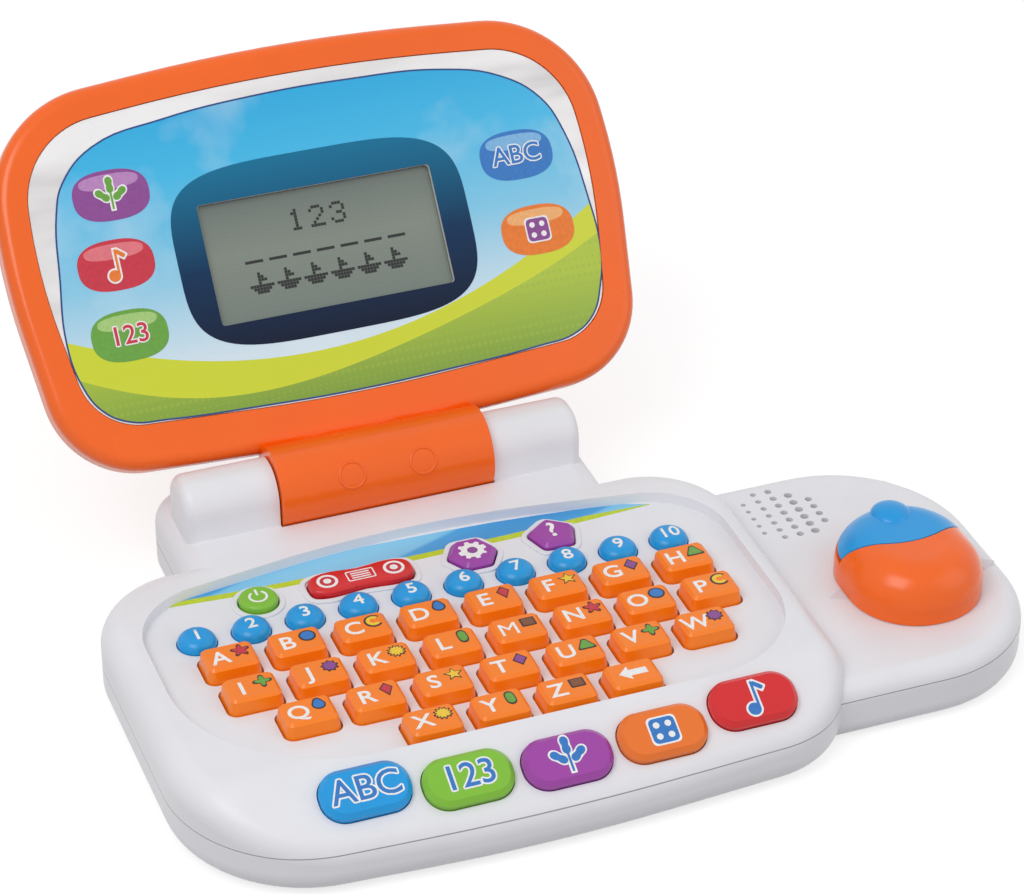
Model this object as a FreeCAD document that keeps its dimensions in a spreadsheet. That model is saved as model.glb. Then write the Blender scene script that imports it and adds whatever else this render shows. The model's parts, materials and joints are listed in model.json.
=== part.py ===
"""Toy laptop computer, standing open. Millimetres, +X right, +Y back, +Z up.

The origin is on the flat underside, below the middle of the row of number keys.
The lid is drawn in its own frame, with the hinge axis as its origin, and is then tilted open.
"""
import FreeCAD, Part
import math
import os
import re

import Sketcher

os.makedirs("parts", exist_ok=True)
doc = FreeCAD.newDocument("toy_laptop")

# Driving dimensions, each with what it measures
SIZES = [
    ("body_half", 99, "half width of the main body"),
    ("body_front", 97.5, "front of the main body, from the number row"),
    ("front_sweep", 7, "how far the front falls back towards the corners"),
    ("front_bow", 500, "radius of the bowed front"),
    ("body_back", 36, "back of the main body beside the hinge block"),
    ("corner_left", 42, "front left corner in plan"),
    ("corner_right", 30, "front right corner in plan"),
    ("corner_back", 28, "back corners in plan"),
    ("rim_height", 27.5, "top of the rim round the keyboard"),
    ("recess_depth", 3.5, "key floor below the rim"),
    ("edge_round", 8, "rounding of the upper edge"),
    ("foot_round", 8, "rounding of the lower edge"),
    ("parting_height", 14, "parting line between the two base shells"),
    ("wall_thick", 2.4, "wall of the base shells"),
    ("floor_thick", 2, "key floor"),
    ("slope_start", 71, "where the front slope leaves the rim"),
    ("slope_angle", 27, "front slope below level, degrees"),
    ("slope_blend", 25, "rounding between rim and slope"),
    ("block_half", 66.5, "half width of the hinge block"),
    ("block_back", 78, "back of the hinge block"),
    ("block_corner", 12, "back corners of the hinge block in plan"),
    ("lobe_right", 166, "right end of the mouse lobe"),
    ("lobe_front", 79.5, "front of the mouse lobe"),
    ("lobe_back", 28, "back of the mouse lobe"),
    ("lobe_corner_front", 38, "front corner of the lobe in plan"),
    ("lobe_corner_back", 42, "back corner of the lobe in plan"),
    ("deck_height", 19, "top of the mouse lobe"),
    ("deck_round", 6, "rounding of the lobe's edges"),
    ("recess_left", 89, "left end of the keyboard recess"),
    ("recess_right", 91.5, "right end of the keyboard recess"),
    ("recess_front", 69.5, "front of the keyboard recess"),
    ("recess_back", 33, "back of the keyboard recess, before its bow is rounded"),
    ("recess_sweep", 14, "how far the back of the recess falls off to its corners"),
    ("recess_bow", 300, "radius of the recess's bowed back"),
    ("recess_corner_left", 46, "front left corner of the recess"),
    ("recess_corner_right", 32, "front right corner of the recess"),
    ("recess_corner_back", 24, "back corners of the recess"),
    ("hinge_y", 54, "hinge axis behind the number row"),
    ("hinge_z", 34, "hinge axis above the underside"),
    ("drum_radius", 12.7, "hinge drum of the lid"),
    ("drum_width", 67, "hinge drum along its axis"),
    ("drum_gap", 0.5, "running gap round the drum and at its ends"),
    ("trough_wall", 2, "wall of the trough that the drum turns in"),
    ("tower_width", 29, "hinge tower along the axis"),
    ("tower_round", 9.5, "rounded top of a hinge tower"),
    ("tower_splay", 1, "spread of a tower's faces at its foot"),
    ("tower_edge", 3.5, "rounding of a tower's outer edge"),
    ("pin_radius", 3, "hinge pin"),
    ("pin_length", 19, "hinge pin, half in the drum"),
    ("pin_play", 0.08, "running clearance of the hinge pin in its tower"),
    ("key_pitch", 20, "letter keys along a row"),
    ("row_pitch", 15.9, "letter rows"),
    ("first_row", 14.4, "first letter row in front of the number row"),
    ("row_shift_1", 2.2, "middle of the first letter row"),
    ("row_shift_2", 3.7, "middle of the second letter row"),
    ("row_shift_3", 5.2, "middle of the third letter row"),
    ("row_shift_4", 6.3, "middle of the fourth letter row"),
    ("letter_width", 16.8, "letter key across"),
    ("letter_depth", 13.2, "letter key front to back"),
    ("letter_corner", 2.8, "letter key corners in plan"),
    ("letter_height", 4.6, "letter key above the floor"),
    ("key_taper", 9, "draft of a key's sides, degrees"),
    ("key_edge", 0.8, "bevel round a key's top"),
    ("key_lip", 0.9, "retaining lip beyond the key's sides"),
    ("lip_thick", 1.2, "retaining lip"),
    ("key_clear", 0.3, "gap round a key in its hole"),
    ("key_travel", 1.5, "how far a key is pressed"),
    ("number_pitch", 16.3, "number keys along their row"),
    ("number_size", 11.5, "number key, diameter"),
    ("number_height", 3.4, "number key above the floor"),
    ("number_dome", 3.2, "rounding of a number key's top"),
    ("control_row", 12.5, "row of control keys behind the number row"),
    ("control_height", 2.6, "control key above the floor"),
    ("control_edge", 1.2, "bevel of a control key"),
    ("bar_depth", 5, "retaining bar of a control key, front to back"),
    ("bar_corner", 1, "retaining bar's corners"),
    ("power_x", -51, "power key"),
    ("power_size", 11.6, "power key, diameter"),
    ("name_x", -19.5, "name key"),
    ("name_width", 32, "name key, across"),
    ("name_depth", 11.5, "name key, front to back"),
    ("name_corner", 5, "name key's ends"),
    ("settings_x", 15.5, "settings key"),
    ("help_x", 41.5, "help key"),
    ("help_back", 1, "help key behind the other control keys"),
    ("badge_size", 15.6, "settings and help keys, across their corners"),
    ("badge_corner", 2.2, "settings and help keys' corners"),
    ("mode_x", 7.7, "middle mode key"),
    ("mode_pitch", 28.8, "mode keys along the front"),
    ("mode_row", 84, "middle mode key in front of the number row"),
    ("mode_bow", 1, "how far each mode key falls back from its neighbour, per step squared"),
    ("mode_width", 26, "mode key across"),
    ("mode_depth", 15, "mode key down the slope"),
    ("mode_corner", 6.8, "mode key's ends"),
    ("mode_height", 3.2, "mode key above the slope"),
    ("mode_edge", 1.4, "bevel of a mode key"),
    ("lid_open", 51.2, "lid's front face above level, degrees"),
    ("lid_half", 98.3, "half width of the lid at its widest"),
    ("lid_waist", 76, "height of the lid's widest point above the hinge"),
    ("lid_low_half", 91, "half width at the lid's lower corners"),
    ("lid_low", 14, "lid's lower corners above the hinge"),
    ("lid_foot", 9.5, "lid's lower edge above the hinge"),
    ("lid_high_half", 95, "half width at the lid's upper corners"),
    ("lid_high", 127.5, "lid's upper corners above the hinge"),
    ("lid_top", 135, "lid's top edge above the hinge, before its bow is rounded"),
    ("lid_low_corner", 28, "lid's lower corners in outline"),
    ("lid_high_corner", 36, "lid's upper corners in outline"),
    ("lid_side_bow", 180, "radius of the lid's bowed sides"),
    ("lid_bow", 600, "radius of the lid's bowed top and bottom"),
    ("bezel_thick", 7, "lid's front shell"),
    ("back_thick", 8, "lid's back shell"),
    ("bezel_round", 4, "rounding of the bezel's edge"),
    ("back_round", 6, "rounding of the back shell's edge"),
    ("lid_wall", 2.2, "wall of the lid shells"),
    ("border_side", 9.2, "bezel border at the sides and top"),
    ("border_foot", 13, "bezel border at the bottom"),
    ("panel_depth", 2, "panel's recess in the bezel"),
    ("panel_thick", 1.6, "printed panel"),
    ("panel_gap", 0.25, "gap round the panel"),
    ("ledge_thick", 2, "ledge behind the panel"),
    ("screen_width", 74.5, "window in the panel, across"),
    ("screen_height", 37.4, "window in the panel, upright"),
    ("screen_foot", 50.8, "window's lower edge above the hinge"),
    ("screen_corner", 1.5, "window's corners"),
    ("lcd_border", 4.5, "display module beyond the window"),
    ("lcd_step", 1.5, "display glass beyond the window"),
    ("lcd_thick", 4, "display module behind the ledge"),
    ("lcd_gap", 0.3, "gap round the display glass and behind the panel"),
    ("mouse_x", 134.8, "middle of the mouse"),
    ("mouse_y", -37, "middle of the mouse"),
    ("mouse_width", 41, "mouse across"),
    ("mouse_length", 47, "mouse front to back"),
    ("mouse_height", 15.8, "mouse above the deck"),
    ("mouse_corner", 20, "mouse's corners in plan"),
    ("mouse_round", 11.5, "rounding of the mouse's top"),
    ("mouse_gap", 0.3, "running gap under the mouse"),
    ("mouse_travel", 4, "mouse's slide to either side"),
    ("stem_width", 10, "mouse's stem across"),
    ("stem_depth", 16, "mouse's stem front to back"),
    ("stem_foot", 4, "foot of the stem beyond its sides"),
    ("stem_foot_thick", 1.6, "foot of the stem"),
    ("button_seam", 2.5, "button's front edge, in front of the mouse's middle"),
    ("button_low", 8.5, "button's lower edge above the mouse's underside"),
    ("seam_bow", 28, "radius of the button's bowed front edge"),
    ("seam_turn", 40, "half angle over which that edge is round, degrees"),
    ("seam_end", 0.5, "corners of the cut behind the button's edge, outside the mouse"),
    ("button_travel", 1.2, "how far the button is pressed"),
    ("button_gap", 0.4, "gap round the button"),
    ("speaker_x", 112.5, "middle of the speaker"),
    ("speaker_y", 8, "middle of the speaker"),
    ("speaker_radius", 13, "speaker"),
    ("speaker_thick", 8, "speaker"),
    ("grille_x", 100, "first column of speaker holes"),
    ("grille_y", 20, "back row of speaker holes"),
    ("grille_step_x", 5, "columns of speaker holes"),
    ("grille_step_y", 4, "rows of speaker holes"),
    ("grille_small", 0.6, "smallest speaker hole, radius"),
    ("grille_grow", 0.18, "growth of the speaker holes from column to column, in radius"),
    ("board_thick", 1.6, "circuit board"),
    ("mat_thick", 1.2, "switch mat"),
    ("pad_size", 6, "switch pad under a key"),
    ("pad_gap", 0.15, "switch pad below a pressed key"),
    ("board_left", 82, "left end of the circuit board"),
    ("board_right", 84, "right end of the circuit board"),
    ("board_front", 69, "front of the circuit board"),
    ("board_back", 21, "back of the circuit board"),
    ("post_radius", 3, "post under the circuit board"),
    ("post_inset", 8, "post from the board's edges"),
    ("door_width", 62, "battery door across"),
    ("door_depth", 45, "battery door front to back"),
    ("door_y", 48, "middle of the battery door"),
    ("door_thick", 1.3, "battery door"),
    ("door_gap", 0.2, "gap round the battery door"),
    ("door_ledge", 3, "ledge that the battery door lies on"),
    ("door_corner", 3, "battery door's corners"),
    ("boss_radius", 4.2, "screw boss"),
    ("screw_radius", 1.5, "case screw"),
    ("screw_play", 0.05, "gap round the case screw"),
    ("screw_length", 11, "case screw under its head"),
    ("screw_head", 2.8, "case screw's head, radius"),
    ("screw_head_thick", 2, "case screw's head"),
    ("screw_well", 3.3, "well of a case screw, radius"),
    ("screw_seat", 6, "seat of a case screw above the underside"),
    ("screw_inset", 8.5, "screws from the sides of the main body"),
]

sheet = doc.addObject("Spreadsheet::Sheet", "sizes")
for row, (alias, size, note) in enumerate(SIZES, start=1):
    sheet.set("A%d" % row, note)
    sheet.set("B%d" % row, str(size))
    sheet.setAlias("B%d" % row, alias)
doc.recompute()

ALIASES = {alias for alias, size, note in SIZES}
KEY_FLOOR = "(rim_height - recess_depth)"
FAR = "(4 * body_half)"


def bound(text):
    """Expression text in which every alias points at the sheet."""
    return re.sub(r"[a-z]\w*", lambda m: "sizes." + m[0] if m[0] in ALIASES else m[0], text)


def value(text):
    """Number that an expression has with the present sizes."""
    return float(sheet.evalExpression(bound(text)))


def bind(thing, **properties):
    """Ties properties to expressions; x, y and z stand for the place."""
    short = {"x": "Placement.Base.x", "y": "Placement.Base.y", "z": "Placement.Base.z"}
    for name, text in properties.items():
        thing.setExpression(short.get(name, name), bound(text))
    return thing


def new_body(label):
    return doc.addObject("PartDesign::Body", label)


def new_sketch(body, role="XY_Plane", offset="0"):
    """Sketch on one of the body's own planes, moved along its normal."""
    sketch = body.newObject("Sketcher::SketchObject", body.Name + "_sketch")
    plane = next(f for f in body.Origin.OriginFeatures if f.Role == role)
    sketch.AttachmentSupport = [(plane, "")]
    sketch.MapMode = "FlatFace"
    sketch.setExpression("AttachmentOffset.Base.z", bound(offset))
    return sketch


def fix_point(sketch, index, place, x, y):
    """Holds a sketch point at two expressions, measured from the sketch's origin."""
    for kind, text in (("DistanceX", x), ("DistanceY", y)):
        number = sketch.addConstraint(Sketcher.Constraint(kind, -1, 1, index, place, value(text)))
        sketch.setExpression("Constraints[%d]" % number, bound(text))


def draw_circle(sketch, radius, x="0", y="0"):
    centre = FreeCAD.Vector(value(x), value(y), 0)
    circle = sketch.addGeometry(Part.Circle(centre, FreeCAD.Vector(0, 0, 1), value(radius)))
    fix_point(sketch, circle, 3, x, y)
    number = sketch.addConstraint(Sketcher.Constraint("Radius", circle, value(radius)))
    sketch.setExpression("Constraints[%d]" % number, bound(radius))


def draw_polygon(sketch, corners):
    """Closed outline with sharp corners, given as pairs of expressions."""
    points = [FreeCAD.Vector(value(x), value(y), 0) for x, y in corners]
    count = len(points)
    lines = []
    for i in range(count):
        lines.append(sketch.addGeometry(Part.LineSegment(points[i], points[(i + 1) % count])))
    for i in range(count):
        sketch.addConstraint(Sketcher.Constraint("Coincident", lines[i - 1], 2, lines[i], 1))
        fix_point(sketch, lines[i], 1, *corners[i])


def draw_outline(sketch, corners):
    """Closed outline of straight sides joined by arcs, given as (x, y, radius) expressions."""
    points = [FreeCAD.Vector(value(x), value(y), 0) for x, y, r in corners]
    radii = [value(r) for x, y, r in corners]
    count = len(points)
    starts, ends, arcs = [], [], []
    for i, point in enumerate(points):
        back = (points[i - 1] - point).normalize()
        ahead = (points[(i + 1) % count] - point).normalize()
        half = back.getAngle(ahead) / 2
        reach = radii[i] / math.tan(half)
        middle = (back + ahead).normalize()
        starts.append(point + back * reach)
        ends.append(point + ahead * reach)
        crown = point + middle * (radii[i] / math.sin(half) - radii[i])
        arcs.append(sketch.addGeometry(Part.Arc(starts[i], crown, ends[i])))
    lines = []
    for i in range(count):
        lines.append(sketch.addGeometry(Part.LineSegment(ends[i], starts[(i + 1) % count])))
    for i in range(count):
        first_end = 1 if (sketch.Geometry[arcs[i]].StartPoint - starts[i]).Length < 1e-6 else 2
        sketch.addConstraint(Sketcher.Constraint("Tangent", lines[i - 1], 2, arcs[i], first_end))
        sketch.addConstraint(Sketcher.Constraint("Tangent", lines[i], 1, arcs[i], 3 - first_end))
        number = sketch.addConstraint(Sketcher.Constraint("Radius", arcs[i], radii[i]))
        sketch.setExpression("Constraints[%d]" % number, bound(corners[i][2]))
        vertex = sketch.addGeometry(Part.Point(points[i]), True)
        fix_point(sketch, vertex, 1, corners[i][0], corners[i][1])
        sketch.addConstraint(Sketcher.Constraint("PointOnObject", vertex, 1, lines[i - 1]))
        sketch.addConstraint(Sketcher.Constraint("PointOnObject", vertex, 1, lines[i]))


def extrude(body, kind, sketch, length, middle=False, back=False, taper=None):
    """Pad or pocket of a sketch; a pocket has to take something away."""
    before = body.Shape.Volume if body.Tip else 0
    feature = body.newObject("PartDesign::" + kind, body.Name + "_" + kind.lower())
    feature.Profile = sketch
    feature.Midplane = middle
    feature.Reversed = back
    bind(feature, Length=length)
    if taper:
        bind(feature, TaperAngle="-" + taper)
    doc.recompute()
    if kind == "Pocket" and not body.Shape.Volume < before - 1e-3:
        raise RuntimeError("a pocket of %s cuts nothing" % body.Label)
    return feature


def slope_of(face):
    """Upward part of a face's normal at its middle."""
    low_u, high_u, low_v, high_v = face.ParameterRange
    return face.normalAt((low_u + high_u) / 2, (low_v + high_v) / 2).z


def rim_edges(shape, upper):
    """Edges where a wall meets the upper faces, or else the underside."""
    names = []
    for number, edge in enumerate(shape.Edges, start=1):
        slopes = sorted((slope_of(f) for f in shape.ancestorsOfType(edge, Part.Face)), key=abs)
        if len(slopes) < 2 or abs(slopes[0]) > 0.35 or abs(slopes[1]) < 0.5:
            continue
        if (slopes[1] > 0) == upper:
            names.append("Edge%d" % number)
    return names


def level_edges(shape, height):
    """Edges that lie at one height."""
    names = []
    for number, edge in enumerate(shape.Edges, start=1):
        bounds = edge.BoundBox
        if bounds.ZLength < 1e-4 and abs(bounds.ZMin - height) < 1e-4:
            names.append("Edge%d" % number)
    return names


def dress(body, kind, edges, **sizes):
    """Fillet or chamfer on edges of the body's last feature."""
    feature = body.newObject("PartDesign::" + kind, body.Name + "_" + kind.lower())
    feature.Base = (body.Tip if body.Tip != feature else feature.BaseFeature, edges)
    bind(feature, **sizes)
    doc.recompute()
    return feature


def combine(kind, label, *pieces):
    """Boolean of two objects, or a fusion or a group of any number."""
    thing = doc.addObject("Part::" + kind, label)
    if kind in ("Cut", "Common"):
        thing.Base, thing.Tool = pieces
    elif kind == "MultiFuse":
        thing.Shapes = list(pieces)
    else:
        thing.Links = list(pieces)
    doc.recompute()
    return thing


def box(label, size, corner):
    thing = doc.addObject("Part::Box", label)
    bind(thing, Length=size[0], Width=size[1], Height=size[2])
    return bind(thing, x=corner[0], y=corner[1], z=corner[2])


def upright(label, radius, height, x, y, z):
    """Cylinder along Z."""
    thing = doc.addObject("Part::Cylinder", label)
    return bind(thing, Radius=radius, Height=height, x=x, y=y, z=z)


def axle(label, radius, length, x, y, z):
    """Cylinder along X, with its left end at x."""
    thing = doc.addObject("Part::Cylinder", label)
    thing.Placement.Rotation = FreeCAD.Rotation(FreeCAD.Vector(0, 1, 0), 90)
    return bind(thing, Radius=radius, Height=length, x=x, y=y, z=z)


def tilt_about_x(thing, angle):
    turn = FreeCAD.Rotation(FreeCAD.Vector(1, 0, 0), value(angle))
    thing.Placement = FreeCAD.Placement(FreeCAD.Vector(), turn)
    thing.setExpression("Placement.Rotation.Angle", bound(angle))


def copy_of(form, label, x, y, z, tilt=None):
    """One more piece of a form, moved and, on the slope, tilted about X."""
    thing = doc.addObject("Part::Compound", label)
    thing.Links = [form]
    if tilt:
        tilt_about_x(thing, tilt)
    return bind(thing, x=x, y=y, z=z)


def moulding(label, corners, low, high, upper_round, lower_round, slope_drop=None):
    """Closed form of a plan outline with rounded upper and lower edges.

    With slope_drop its front is cut down along the front slope, that much below it."""
    body = new_body(label)
    plan = new_sketch(body, offset=low)
    draw_outline(plan, corners)
    extrude(body, "Pad", plan, "%s - %s" % (high, low))
    if slope_drop is not None:
        start = "-(slope_start + (rim_height - %s - %s) / tan(slope_angle))" % (slope_drop, high)
        fall = "(%s - (body_front + wall_thick + %s) * tan(slope_angle))" % (high, start)
        side = new_sketch(body, "YZ_Plane")
        far = "-(body_front + wall_thick)"
        draw_polygon(side, [(start, high), (far, high), (far, fall)])
        extrude(body, "Pocket", side, FAR, middle=True)
        crease = []
        for name in level_edges(body.Shape, value(high)):
            bounds = body.Shape.getElement(name).BoundBox
            if bounds.YLength < 1e-4 and abs(bounds.YMin - value(start)) < 1e-3:
                crease.append(name)
        dress(body, "Fillet", crease, Radius="slope_blend")
    if upper_round:
        dress(body, "Fillet", rim_edges(body.Shape, True), Radius=upper_round)
    if lower_round:
        dress(body, "Fillet", rim_edges(body.Shape, False), Radius=lower_round)
    return body


def main_corners(inset):
    side = "(body_half - %s)" % inset
    front = "(body_front - %s)" % inset
    corner = "(body_front - front_sweep - %s)" % inset
    back = "(body_back - %s)" % inset
    return [
        ("-" + side, "-" + corner, "(corner_left - %s)" % inset),
        ("0", "-" + front, "(front_bow - %s)" % inset),
        (side, "-" + corner, "(corner_right - %s)" % inset),
        (side, back, "(corner_back - %s)" % inset),
        ("-" + side, back, "(corner_back - %s)" % inset),
    ]


def lobe_corners(inset):
    inner = "(body_half - corner_back)"
    right = "(lobe_right - %s)" % inset
    front = "-(lobe_front - %s)" % inset
    back = "(lobe_back - %s)" % inset
    return [
        (inner, front, "deck_round"),
        (right, front, "(lobe_corner_front - %s)" % inset),
        (right, back, "(lobe_corner_back - %s)" % inset),
        (inner, back, "deck_round"),
    ]


def block_corners(inset):
    side = "(block_half - %s)" % inset
    front = "(body_back / 2 + %s)" % inset
    back = "(block_back - %s)" % inset
    corner = "(block_corner - %s)" % inset
    return [
        ("-" + side, front, corner),
        (side, front, corner),
        (side, back, corner),
        ("-" + side, back, corner),
    ]


def recess_corners():
    back = "(recess_back - recess_sweep)"
    middle = "((recess_right - recess_left) / 2)"
    return [
        ("-recess_left", "-recess_front", "recess_corner_left"),
        ("recess_right", "-recess_front", "recess_corner_right"),
        ("recess_right", back, "recess_corner_back"),
        (middle, "recess_back", "recess_bow"),
        ("-recess_left", back, "recess_corner_back"),
    ]


def tower(label, side):
    """Hinge tower with a round top over the hinge axis; side is 1 on the right and -1 on the left."""
    body = new_body(label)
    inner = "(drum_width / 2 + drum_gap)"
    profile = new_sketch(body, "YZ_Plane", inner if side > 0 else "-" + inner)
    foot = "(rim_height - edge_round / 2)"
    top = "(hinge_z + tower_round)"
    small = "tower_splay"
    crown = "(0.95 * tower_round)"
    draw_outline(profile, [
        ("hinge_y - tower_round - tower_splay", foot, small),
        ("hinge_y + tower_round + tower_splay", foot, small),
        ("hinge_y + tower_round", top, crown),
        ("hinge_y - tower_round", top, crown),
    ])
    extrude(body, "Pad", profile, "tower_width", back=side < 0)
    outer = side * (value(inner) + value("tower_width"))
    edges = []
    above_foot = value(foot) + 2 * value(small)
    for number, edge in enumerate(body.Shape.Edges, start=1):
        bounds = edge.BoundBox
        on_end = bounds.XLength < 1e-4 and abs(bounds.XMin - outer) < 1e-4
        if on_end and bounds.ZMax > above_foot:
            edges.append("Edge%d" % number)
    dress(body, "Fillet", edges, Radius="tower_edge")
    return body


# Outlines of the keys: each gives its corners, grown all round by an expression

def rectangle(width, depth, corner):
    def corners(grow):
        x = "(%s / 2 + %s)" % (width, grow)
        y = "(%s / 2 + %s)" % (depth, grow)
        r = "(%s + %s)" % (corner, grow)
        return [("-" + x, "-" + y, r), (x, "-" + y, r), (x, y, r), ("-" + x, y, r)]
    return corners


def regular(sides, size, corner):
    def corners(grow):
        reach = "(%s / 2 + %s / cos(180 / %d))" % (size, grow, sides)
        found = []
        for i in range(sides):
            angle = 360 * i / sides + (90 if sides % 2 else 0)
            x = "%s * cos(%g)" % (reach, angle)
            y = "%s * sin(%g)" % (reach, angle)
            found.append((x, y, "(%s + %s)" % (corner, grow)))
        return found
    return corners


def draw_key(sketch, plan, grow):
    """A round key's plan is its diameter, and any other key's plan gives corners."""
    if isinstance(plan, str):
        draw_circle(sketch, "%s / 2 + %s" % (plan, grow))
    else:
        draw_outline(sketch, plan(grow))


def key_form(label, plan, height, floor, edge, edge_kind, taper=None, bar=None):
    """Key with a cap above the floor and a retaining lip, or bar, below it; z = 0 is the floor's top."""
    body = new_body(label)
    cap = new_sketch(body, offset="-" + floor)
    draw_key(cap, plan, "0")
    extrude(body, "Pad", cap, "%s + %s" % (height, floor), taper=taper)
    lip = new_sketch(body, offset="-(%s + lip_thick)" % floor)
    if bar:
        draw_key(lip, rectangle("(%s + 2 * key_lip)" % bar, "bar_depth", "bar_corner"), "0")
    else:
        draw_key(lip, plan, "key_lip")
    extrude(body, "Pad", lip, "lip_thick")
    top = level_edges(body.Shape, value(height))
    dress(body, edge_kind, top, **{"Radius" if edge_kind == "Fillet" else "Size": edge})
    return body


def hole_form(label, plan, floor, room=None):
    """Cutter for a key's hole, a little past both faces, and for the lip's room in a thicker wall."""
    body = new_body(label)
    sketch = new_sketch(body, offset="-1.5 * " + floor)
    draw_key(sketch, plan, "key_clear")
    extrude(body, "Pad", sketch, "2 * " + floor)
    if room:
        lip = new_sketch(body, offset="-(%s + %s)" % (floor, room))
        draw_key(lip, plan, "(key_lip + key_clear)")
        extrude(body, "Pad", lip, room)
    return body


# Keys: the node, the form's name and the place of each
LETTER_ROWS = [
    ("row_shift_1", ["a", "b", "c", "d", "e", "f", "g", "h"]),
    ("row_shift_2", ["i", "j", "k", "l", "m", "n", "o", "p"]),
    ("row_shift_3", ["q", "r", "s", "t", "u", "v", "w"]),
    ("row_shift_4", ["x", "y", "z", "erase"]),
]
MODES = ["mode_letters", "mode_numbers", "mode_nature", "mode_logic", "mode_music"]

PLANS = {
    "letter": rectangle("letter_width", "letter_depth", "letter_corner"),
    "number": "number_size",
    "power": "power_size",
    "name": rectangle("name_width", "name_depth", "name_corner"),
    "settings": regular(6, "badge_size", "badge_corner"),
    "help": regular(5, "badge_size", "badge_corner"),
    "mode": rectangle("mode_width", "mode_depth", "mode_corner"),
}
BARS = {"power": "power_size", "name": "name_width", "settings": "badge_size", "help": "badge_size"}
MODE_ROOM = "(lip_thick + key_travel + key_clear)"
FORMS = {}
HOLES = {}
for kind, height, floor, edge, edge_kind, taper in [
    ("letter", "letter_height", "floor_thick", "key_edge", "Chamfer", "key_taper"),
    ("number", "number_height", "floor_thick", "number_dome", "Fillet", None),
    ("power", "control_height", "floor_thick", "control_edge", "Fillet", None),
    ("name", "control_height", "floor_thick", "control_edge", "Fillet", None),
    ("settings", "control_height", "floor_thick", "control_edge", "Chamfer", None),
    ("help", "control_height", "floor_thick", "control_edge", "Chamfer", None),
    ("mode", "mode_height", "wall_thick", "mode_edge", "Chamfer", None),
]:
    plan = PLANS[kind]
    FORMS[kind] = key_form(kind + "_form", plan, height, floor, edge, edge_kind, taper, BARS.get(kind))
    HOLES[kind] = hole_form(kind + "_hole", plan, floor, MODE_ROOM if kind == "mode" else None)

places = []
for row, (shift, letters) in enumerate(LETTER_ROWS):
    for i, letter in enumerate(letters):
        x = "%s + %g * key_pitch" % (shift, i - (len(letters) - 1) / 2)
        places.append(("key_" + letter, "letter", x, "-(first_row + %d * row_pitch)" % row))
for i in range(10):
    places.append(("number_%d" % (i + 1), "number", "%g * number_pitch" % (i - 4.5), "0"))
for kind in BARS:
    row = "(control_row + help_back)" if kind == "help" else "control_row"
    places.append((kind + "_key", kind, kind + "_x", row))

nodes = {}
holes = []
for name, kind, x, y in places:
    nodes[name] = copy_of(FORMS[kind], name, x, y, KEY_FLOOR)
    holes.append(copy_of(HOLES[kind], name + "_hole", x, y, KEY_FLOOR))
for i, name in enumerate(MODES):
    step = i - (len(MODES) - 1) / 2
    x = "mode_x + %g * mode_pitch" % step
    y = "-(mode_row - %g * mode_bow)" % step ** 2
    z = "rim_height + (slope_start + %s) * tan(slope_angle)" % y
    nodes[name] = copy_of(FORMS["mode"], name, x, y, z, "slope_angle")
    holes.append(copy_of(HOLES["mode"], name + "_hole", x, y, z, "slope_angle"))

# Base: outer form and inner space
SLOPE_WALL = "(wall_thick / cos(slope_angle))"
INNER_ROUND = "(foot_round - wall_thick)"
tower_left = tower("tower_left", -1)
tower_right = tower("tower_right", 1)
main_form = moulding("main_form", main_corners("0"), "0", "rim_height", "edge_round", "foot_round", "0")
lobe_form = moulding("lobe_form", lobe_corners("0"), "0", "deck_height", "deck_round", "deck_round")
block_form = moulding("block_form", block_corners("0"), "0", "rim_height", "edge_round", "foot_round")
SPACE_TOP = "(%s - floor_thick)" % KEY_FLOOR
main_space = moulding("main_space", main_corners("wall_thick"), "wall_thick", SPACE_TOP,
                      None, INNER_ROUND, SLOPE_WALL)
lobe_space = moulding("lobe_space", lobe_corners("wall_thick"), "wall_thick", "(deck_height - wall_thick)",
                      None, "(deck_round - wall_thick)")
block_space = moulding("block_space", block_corners("wall_thick"), "wall_thick", SPACE_TOP, None, INNER_ROUND)
base_form = combine("MultiFuse", "base_form", main_form, lobe_form, block_form, tower_left, tower_right)
base_space = combine("MultiFuse", "base_space", main_space, lobe_space, block_space)
base_skin = combine("Cut", "base_skin", base_form, base_space)

# Trough that the drum turns in, and screw bosses, fused to the skin
TROUGH = "(drum_radius + drum_gap)"
TROUGH_END = "(drum_width / 2 + drum_gap)"
trough_round = axle("trough_round", TROUGH + " + trough_wall", "2 * " + TROUGH_END, "-" + TROUGH_END,
                    "hinge_y", "hinge_z")
trough_body = combine("Common", "trough_body", trough_round, block_form)
SCREWS = [
    ("-(body_half - screw_inset)", "-2 * first_row", KEY_FLOOR),
    ("-(body_half - screw_inset)", "first_row / 2", KEY_FLOOR),
    ("(body_half - screw_inset / 1.5)", "-3 * first_row", KEY_FLOOR),
    ("(body_half - screw_inset / 1.5)", "first_row", KEY_FLOOR),
    ("-(block_half - screw_inset)", "(block_back - screw_inset)", KEY_FLOOR),
    ("(block_half - screw_inset)", "(block_back - screw_inset)", KEY_FLOOR),
    ("(lobe_right - 2 * screw_inset)", "-(lobe_front - 2 * screw_inset)", "deck_height"),
    ("(lobe_right - 2 * screw_inset)", "(lobe_back - 2 * screw_inset)", "deck_height"),
]
bosses, bores, screws, wells = [], [], [], []
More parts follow.
